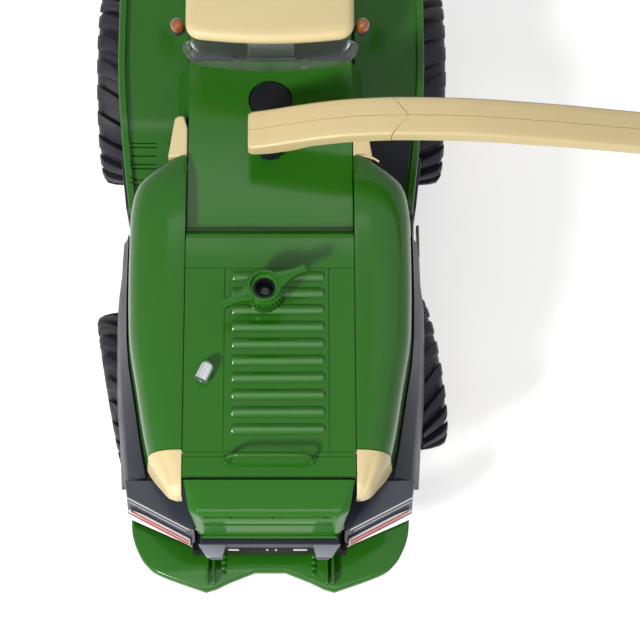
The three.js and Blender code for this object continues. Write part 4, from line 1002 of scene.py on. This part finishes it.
# the ring's section: its foot, the two toothed bands, the top, and the stepped bore
RING = [(2.3, knob_foot), (4.9, knob_foot), (4.9, 100.6), (5.2, 101.0), (5.2, 103.0), (RING_R, 103.5)]
RING += [(RING_R, 105.2), (4.95, 105.5), (4.9, KNOB_TOP - 0.3), (4.65, KNOB_TOP), (BORE_R + 0.2, KNOB_TOP)]
RING += [(BORE_R, KNOB_TOP - 0.3), (BORE_R - 0.1, 105.3), (3.1, 105.0), (2.95, 100.0), (2.3, 98.8)]
ring = lathe("knob_ring", RING, knob_place @ UPRIGHT, 72)


def teeth(name, radius, z0, z1, phase):
    """A row of small rounded teeth round the ring."""
    foot, tip = radius - 0.5, radius + 0.42
    plan = [(foot, -0.36), (tip, -0.24), (tip, 0.24), (foot, 0.36)]
    tooth = prism("tooth", plan, z0, z1, Matrix.Rotation(phase, 4, "Z"), 0.12)
    return repeated(name, tooth, TEETH, GLOSS_GREEN, turn=(0, 0, 2 * math.pi / TEETH), place=knob_place)


ARM = [(4.3, -2.5), (5.9, -1.9), (7.6, -1.3), (9.8, -1.0), (11.6, -0.95), (12.8, -1.2), (13.2, -0.9)]
ARM += [(13.0, 0.0), (13.2, 1.0), (12.6, 1.3), (11.4, 1.15), (9.8, 1.3), (7.6, 1.6), (5.9, 2.1), (4.3, 2.6)]
ARM_Z = (KNOB_TOP - 2.6, KNOB_TOP - 0.15)
arms = [prism("arm", [(s * x, s * y) for x, y in ARM], *ARM_Z, knob_place, 0.4, 3) for s in (1, -1)]
upper_teeth = teeth("upper_teeth", RING_R, 103.6, 105.4, 0.0)
lower_teeth = teeth("lower_teeth", RING_R - 0.1, 101.1, 102.9, math.pi / TEETH)
knob = joined("steering_knob_ring", [ring, upper_teeth, lower_teeth] + arms)
dressed(knob, GLOSS_GREEN, "steering_knob")
CUP = [(0, 99.2), (2.6, 99.2), (2.9, 104.7), (2.6, 104.7), (2.45, 100.4), (0, 100.4)]
added(lathe("knob_bottom", CUP, knob_place @ UPRIGHT, 40), MATT_BLACK, "steering_knob")
SCREW = [(0, 100.3), (1.4, 100.3), (1.4, 101.1), (1.0, 101.5), (0, 101.6)]
screw = lathe("knob_screw", SCREW, placed(KNOB[0] + 0.2, KNOB[1] + 0.1, 0) @ UPRIGHT, 32)
grooved(screw, [(KNOB[0] - 2, KNOB[0] + 2.4, KNOB[1] - 0.15, KNOB[1] + 0.35, 101.1, 103)])
added(screw, MATT_GREY, "steering_knob")

# ---- grab rail on the hood, with its scalloped feet ----
RAIL_Y = -43.8
RAIL_HALF = 12.0
rail_foot_z = hood_top(RAIL_Y) + GAP
RAIL_PATH = [(-RAIL_HALF + x, h) for x, h in ((0, 0.2), (0, 1.8), (0.4, 3.2), (1.4, 4.5), (3, 5.2))]
RAIL_PATH += [(x, 5.3) for x in (-6, -3, 0)]
RAIL_PATH += [(-x, h) for x, h in reversed(RAIL_PATH[:-1])]
bar = sweep("rail_bar", [(x, RAIL_Y, rail_foot_z + h) for x, h in RAIL_PATH], 0.6, 14)
feet = []
for x in (-RAIL_HALF, RAIL_HALF):
    for dx, dy, r in ((0, 0, 1.15), (-0.9, 0.3, 0.6), (0.9, 0.3, 0.6), (0, -0.9, 0.6)):
        place = placed(x + dx, RAIL_Y + dy, rail_foot_z) @ UPRIGHT
        feet.append(lathe("foot", [(0, 0), (r, 0), (r, 0.5), (r - 0.25, 0.8), (0, 0.85)], place, 24))
rail = joined("hood_rail_bar", [bar] + feet)
dressed(rail, GLOSS_GREEN, "hood_rail")

# ---- exhaust elbow ----
from_node("exhaust_stub", SILVER_LACQUER, 0.12)

# ---- cab ----
from_node("cab_glazing", CLEAR_GLAZING, 0.25, 2)
ROOF_HALF, ROOF_REAR_Y, ROOF_FRONT_Y, ROOF_CORNER, ROOF_BOW = 24.5, 76.6, 127.0, 4.6, 1.2
ROOF_LOW, ROOF_TOP = 112.3, 120.0
flat = ROOF_HALF - ROOF_CORNER
roof_line = []
rear, front = ROOF_REAR_Y + ROOF_CORNER, ROOF_FRONT_Y - ROOF_CORNER
for cx, cy, start in ((flat, rear, -90), (flat, front, 0), (-flat, front, 90), (-flat, rear, 180)):
    for turn in spread(math.radians(start), math.radians(start + 90), 8):
        roof_line.append((cx + ROOF_CORNER * math.cos(turn), cy + ROOF_CORNER * math.sin(turn)))
roof_line += [(share * flat, ROOF_REAR_Y - ROOF_BOW * (1 - share**2)) for share in spread(-0.9, 0.9, 12)]
levels = [(ROOF_LOW, 2.4), (115.4, 0.9), (117.0, 0.15), (118.0, 0.0), (118.8, 0.3), (119.5, 1.0), (119.9, 2.0)]
roof = stacked("cab_roof_shell", roof_line, levels + [(ROOF_TOP, 3.2)])
dressed(roof, SATIN_CREAM, "cab_roof")
from_node("cab_tub", SATIN_ANTHRACITE, 0.3)
from_node("driver_seat", SEAT_GREY, 0.9, 3)
from_node("steering_console", MATT_BLACK, 0.3)
for number, x in enumerate((-10.3, 8.2), 1):
    pillar = block(f"cab_pillar_{number}", x - 0.9, x + 0.9, 85.6, 87.0, 90.4, 111.5, 0.3)
    added(pillar, MATT_BLACK, "cab_tub")
BEACON_X, BEACON_Y, BEACON_Z = 27.1, 82.6, 112.4
BASE = [(0, 0), (2.2, 0), (2.2, 1.0), (1.9, 1.3), (0, 1.3)]
BULB = [(0, 1.2), (1.5, 1.2), (1.5, 2.4), (1.25, 3.1), (0.7, 3.5), (0, 3.6)]
DOME = [(1.9, 1.25), (1.95, 3.0), (1.6, 4.0), (0.9, 4.6), (0, 4.8)]  # outside, then inside
DOME += [(0, 4.5), (0.8, 4.3), (1.4, 3.8), (1.7, 2.9), (1.65, 1.25)]
STALK_YZ = (BEACON_Y - 1, BEACON_Y + 1, BEACON_Z - 0.6, BEACON_Z + 0.4)
for word, side in SIDES:
    from_node("mirror_" + word, MATT_BLACK, 0.3)
    place = placed(side * BEACON_X, BEACON_Y, BEACON_Z) @ UPRIGHT
    base = lathe("base", BASE, place, 32)
    stalk = block("stalk", *sorted((side * (ROOF_HALF + GAP), side * BEACON_X)), *STALK_YZ)
    dressed(joined("beacon_base_" + word, [base, stalk]), SATIN_ANTHRACITE, "beacon_" + word)
    for name, profile in (("beacon_bulb_", BULB), ("beacon_dome_", DOME)):
        added(lathe(name + word, profile, place, 32), AMBER_CLEAR, "beacon_" + word)
BUMP = [(0, 0), (1.7, 0), (1.5, 0.6), (0.9, 1.0), (0, 1.2)]
for number, x in enumerate((-10.0, 10.3), 1):
    bump = lathe(f"glazing_bump_{number}", BUMP, placed(x, 81.6, 91.5) @ UPRIGHT, 24)
    added(bump, CLEAR_GLAZING, "cab_glazing")

# ---- running gear and the closed inside ----
for finish, nodes in (
    (SATIN_ANTHRACITE, "chassis_frame front_axle rear_axle steering_knuckle_left steering_knuckle_right"),
    (MATT_BLACK, "engine_block crop_duct"),
    (GLOSS_GREEN, "intake_housing side_step_right"),
    (SILVER_LACQUER, "feed_roller_lower feed_roller_upper"),
):
    for node in nodes.split():
        from_node(node, finish, 0.3)


# ---- floor, light and camera ----
def lift(nodes, links):
    """1 on camera, glossy and transmission rays, else 0."""
    path = nodes.new("ShaderNodeLightPath")
    first, second = nodes.new("ShaderNodeMath"), nodes.new("ShaderNodeMath")
    first.operation = second.operation = "ADD"
    second.use_clamp = True
    links.new(path.outputs["Is Camera Ray"], first.inputs[0])
    links.new(path.outputs["Is Glossy Ray"], first.inputs[1])
    links.new(first.outputs["Value"], second.inputs[0])
    links.new(path.outputs["Is Transmission Ray"], second.inputs[1])
    return second.outputs["Value"]


def floor_material():
    """White studio paper that keeps the shadow: its own light is there for the eye and mirrors only."""
    made = bpy.data.materials.new("studio_paper")
    made.use_nodes = True
    nodes, links = made.node_tree.nodes, made.node_tree.links
    principled = nodes["Principled BSDF"]
    fill(principled, Base_Color=(0.9, 0.9, 0.9, 1), Roughness=0.9, Specular_IOR_Level=0.0)
    fill(principled, Emission_Color=(1, 1, 1, 1))
    place = nodes.new("ShaderNodeTexCoord")
    away = nodes.new("ShaderNodeVectorMath")
    away.operation = "LENGTH"
    links.new(place.outputs["Object"], away.inputs[0])
    reach = nodes.new("ShaderNodeMapRange")
    fill(reach, From_Min=0.3, From_Max=1.2, To_Min=0.58, To_Max=1.0)
    links.new(away.outputs["Value"], reach.inputs["Value"])
    amount = nodes.new("ShaderNodeMath")
    amount.operation = "MULTIPLY"
    links.new(reach.outputs["Result"], amount.inputs[1])
    links.new(lift(nodes, links), amount.inputs[0])
    links.new(amount.outputs["Value"], principled.inputs["Emission Strength"])
    return made


FLOOR_HALF = 3.0  # metres
corners = [(x * FLOOR_HALF, y * FLOOR_HALF, 0) for x, y in ((-1, -1), (1, -1), (1, 1), (-1, 1))]
floor = mesh_object("studio_floor", corners, [(0, 1, 2, 3)])
painted(floor, floor_material())

world = bpy.data.worlds.new("studio")
SCENE.world = world
world.use_nodes = True
sky_nodes, sky_links = world.node_tree.nodes, world.node_tree.links
backdrop = sky_nodes.new("ShaderNodeMapRange")
fill(backdrop, To_Min=0.15, To_Max=1.0)
sky_links.new(lift(sky_nodes, sky_links), backdrop.inputs["Value"])
fill(sky_nodes["Background"], Color=(1, 1, 1, 1))
sky_links.new(backdrop.outputs["Result"], sky_nodes["Background"].inputs["Strength"])


def lamp(name, place, aim, size, watts, colour=(1, 1, 1)):
    """A soft lamp at a machine point that faces another, its width and depth in metres."""
    data = bpy.data.lights.new(name, "AREA")
    data.shape = "RECTANGLE"
    data.size, data.size_y = size
    data.energy = watts
    data.color = colour
    made = in_scene(name, data)
    made.location = at(*place)
    made.rotation_euler = (at(*aim) - at(*place)).to_track_quat("-Z", "Y").to_euler()


MIDDLE = (0, 30, 60)
lamp("key", (-560, -750, 860), MIDDLE, (0.15, 0.15), 12.0, (1, 0.98, 0.95))
lamp("fill", (700, 200, 800), MIDDLE, (0.9, 0.9), 1.0)
lamp("deck_card", (-10, 259, 600), (0, 41, DECK_Z), (0.34, 0.045), 0.12)
lamp("rear_card", (0, -360, 620), (0, -10, HOOD_Z), (0.5, 0.16), 0.9)

CAMERA_TILT = math.radians(20.0)  # from straight down
CAMERA_PLACE = (5.7, -218.1, 689.2)
optics = bpy.data.cameras.new("camera")
camera = in_scene("camera", optics)
camera.location = at(*CAMERA_PLACE)
camera.rotation_euler = (CAMERA_TILT, 0, 0)
optics.lens = 123.75
optics.sensor_width = 36.0
optics.shift_x = 0.0478
optics.clip_start = 0.01
SCENE.camera = camera
SCENE.view_settings.view_transform = "Standard"
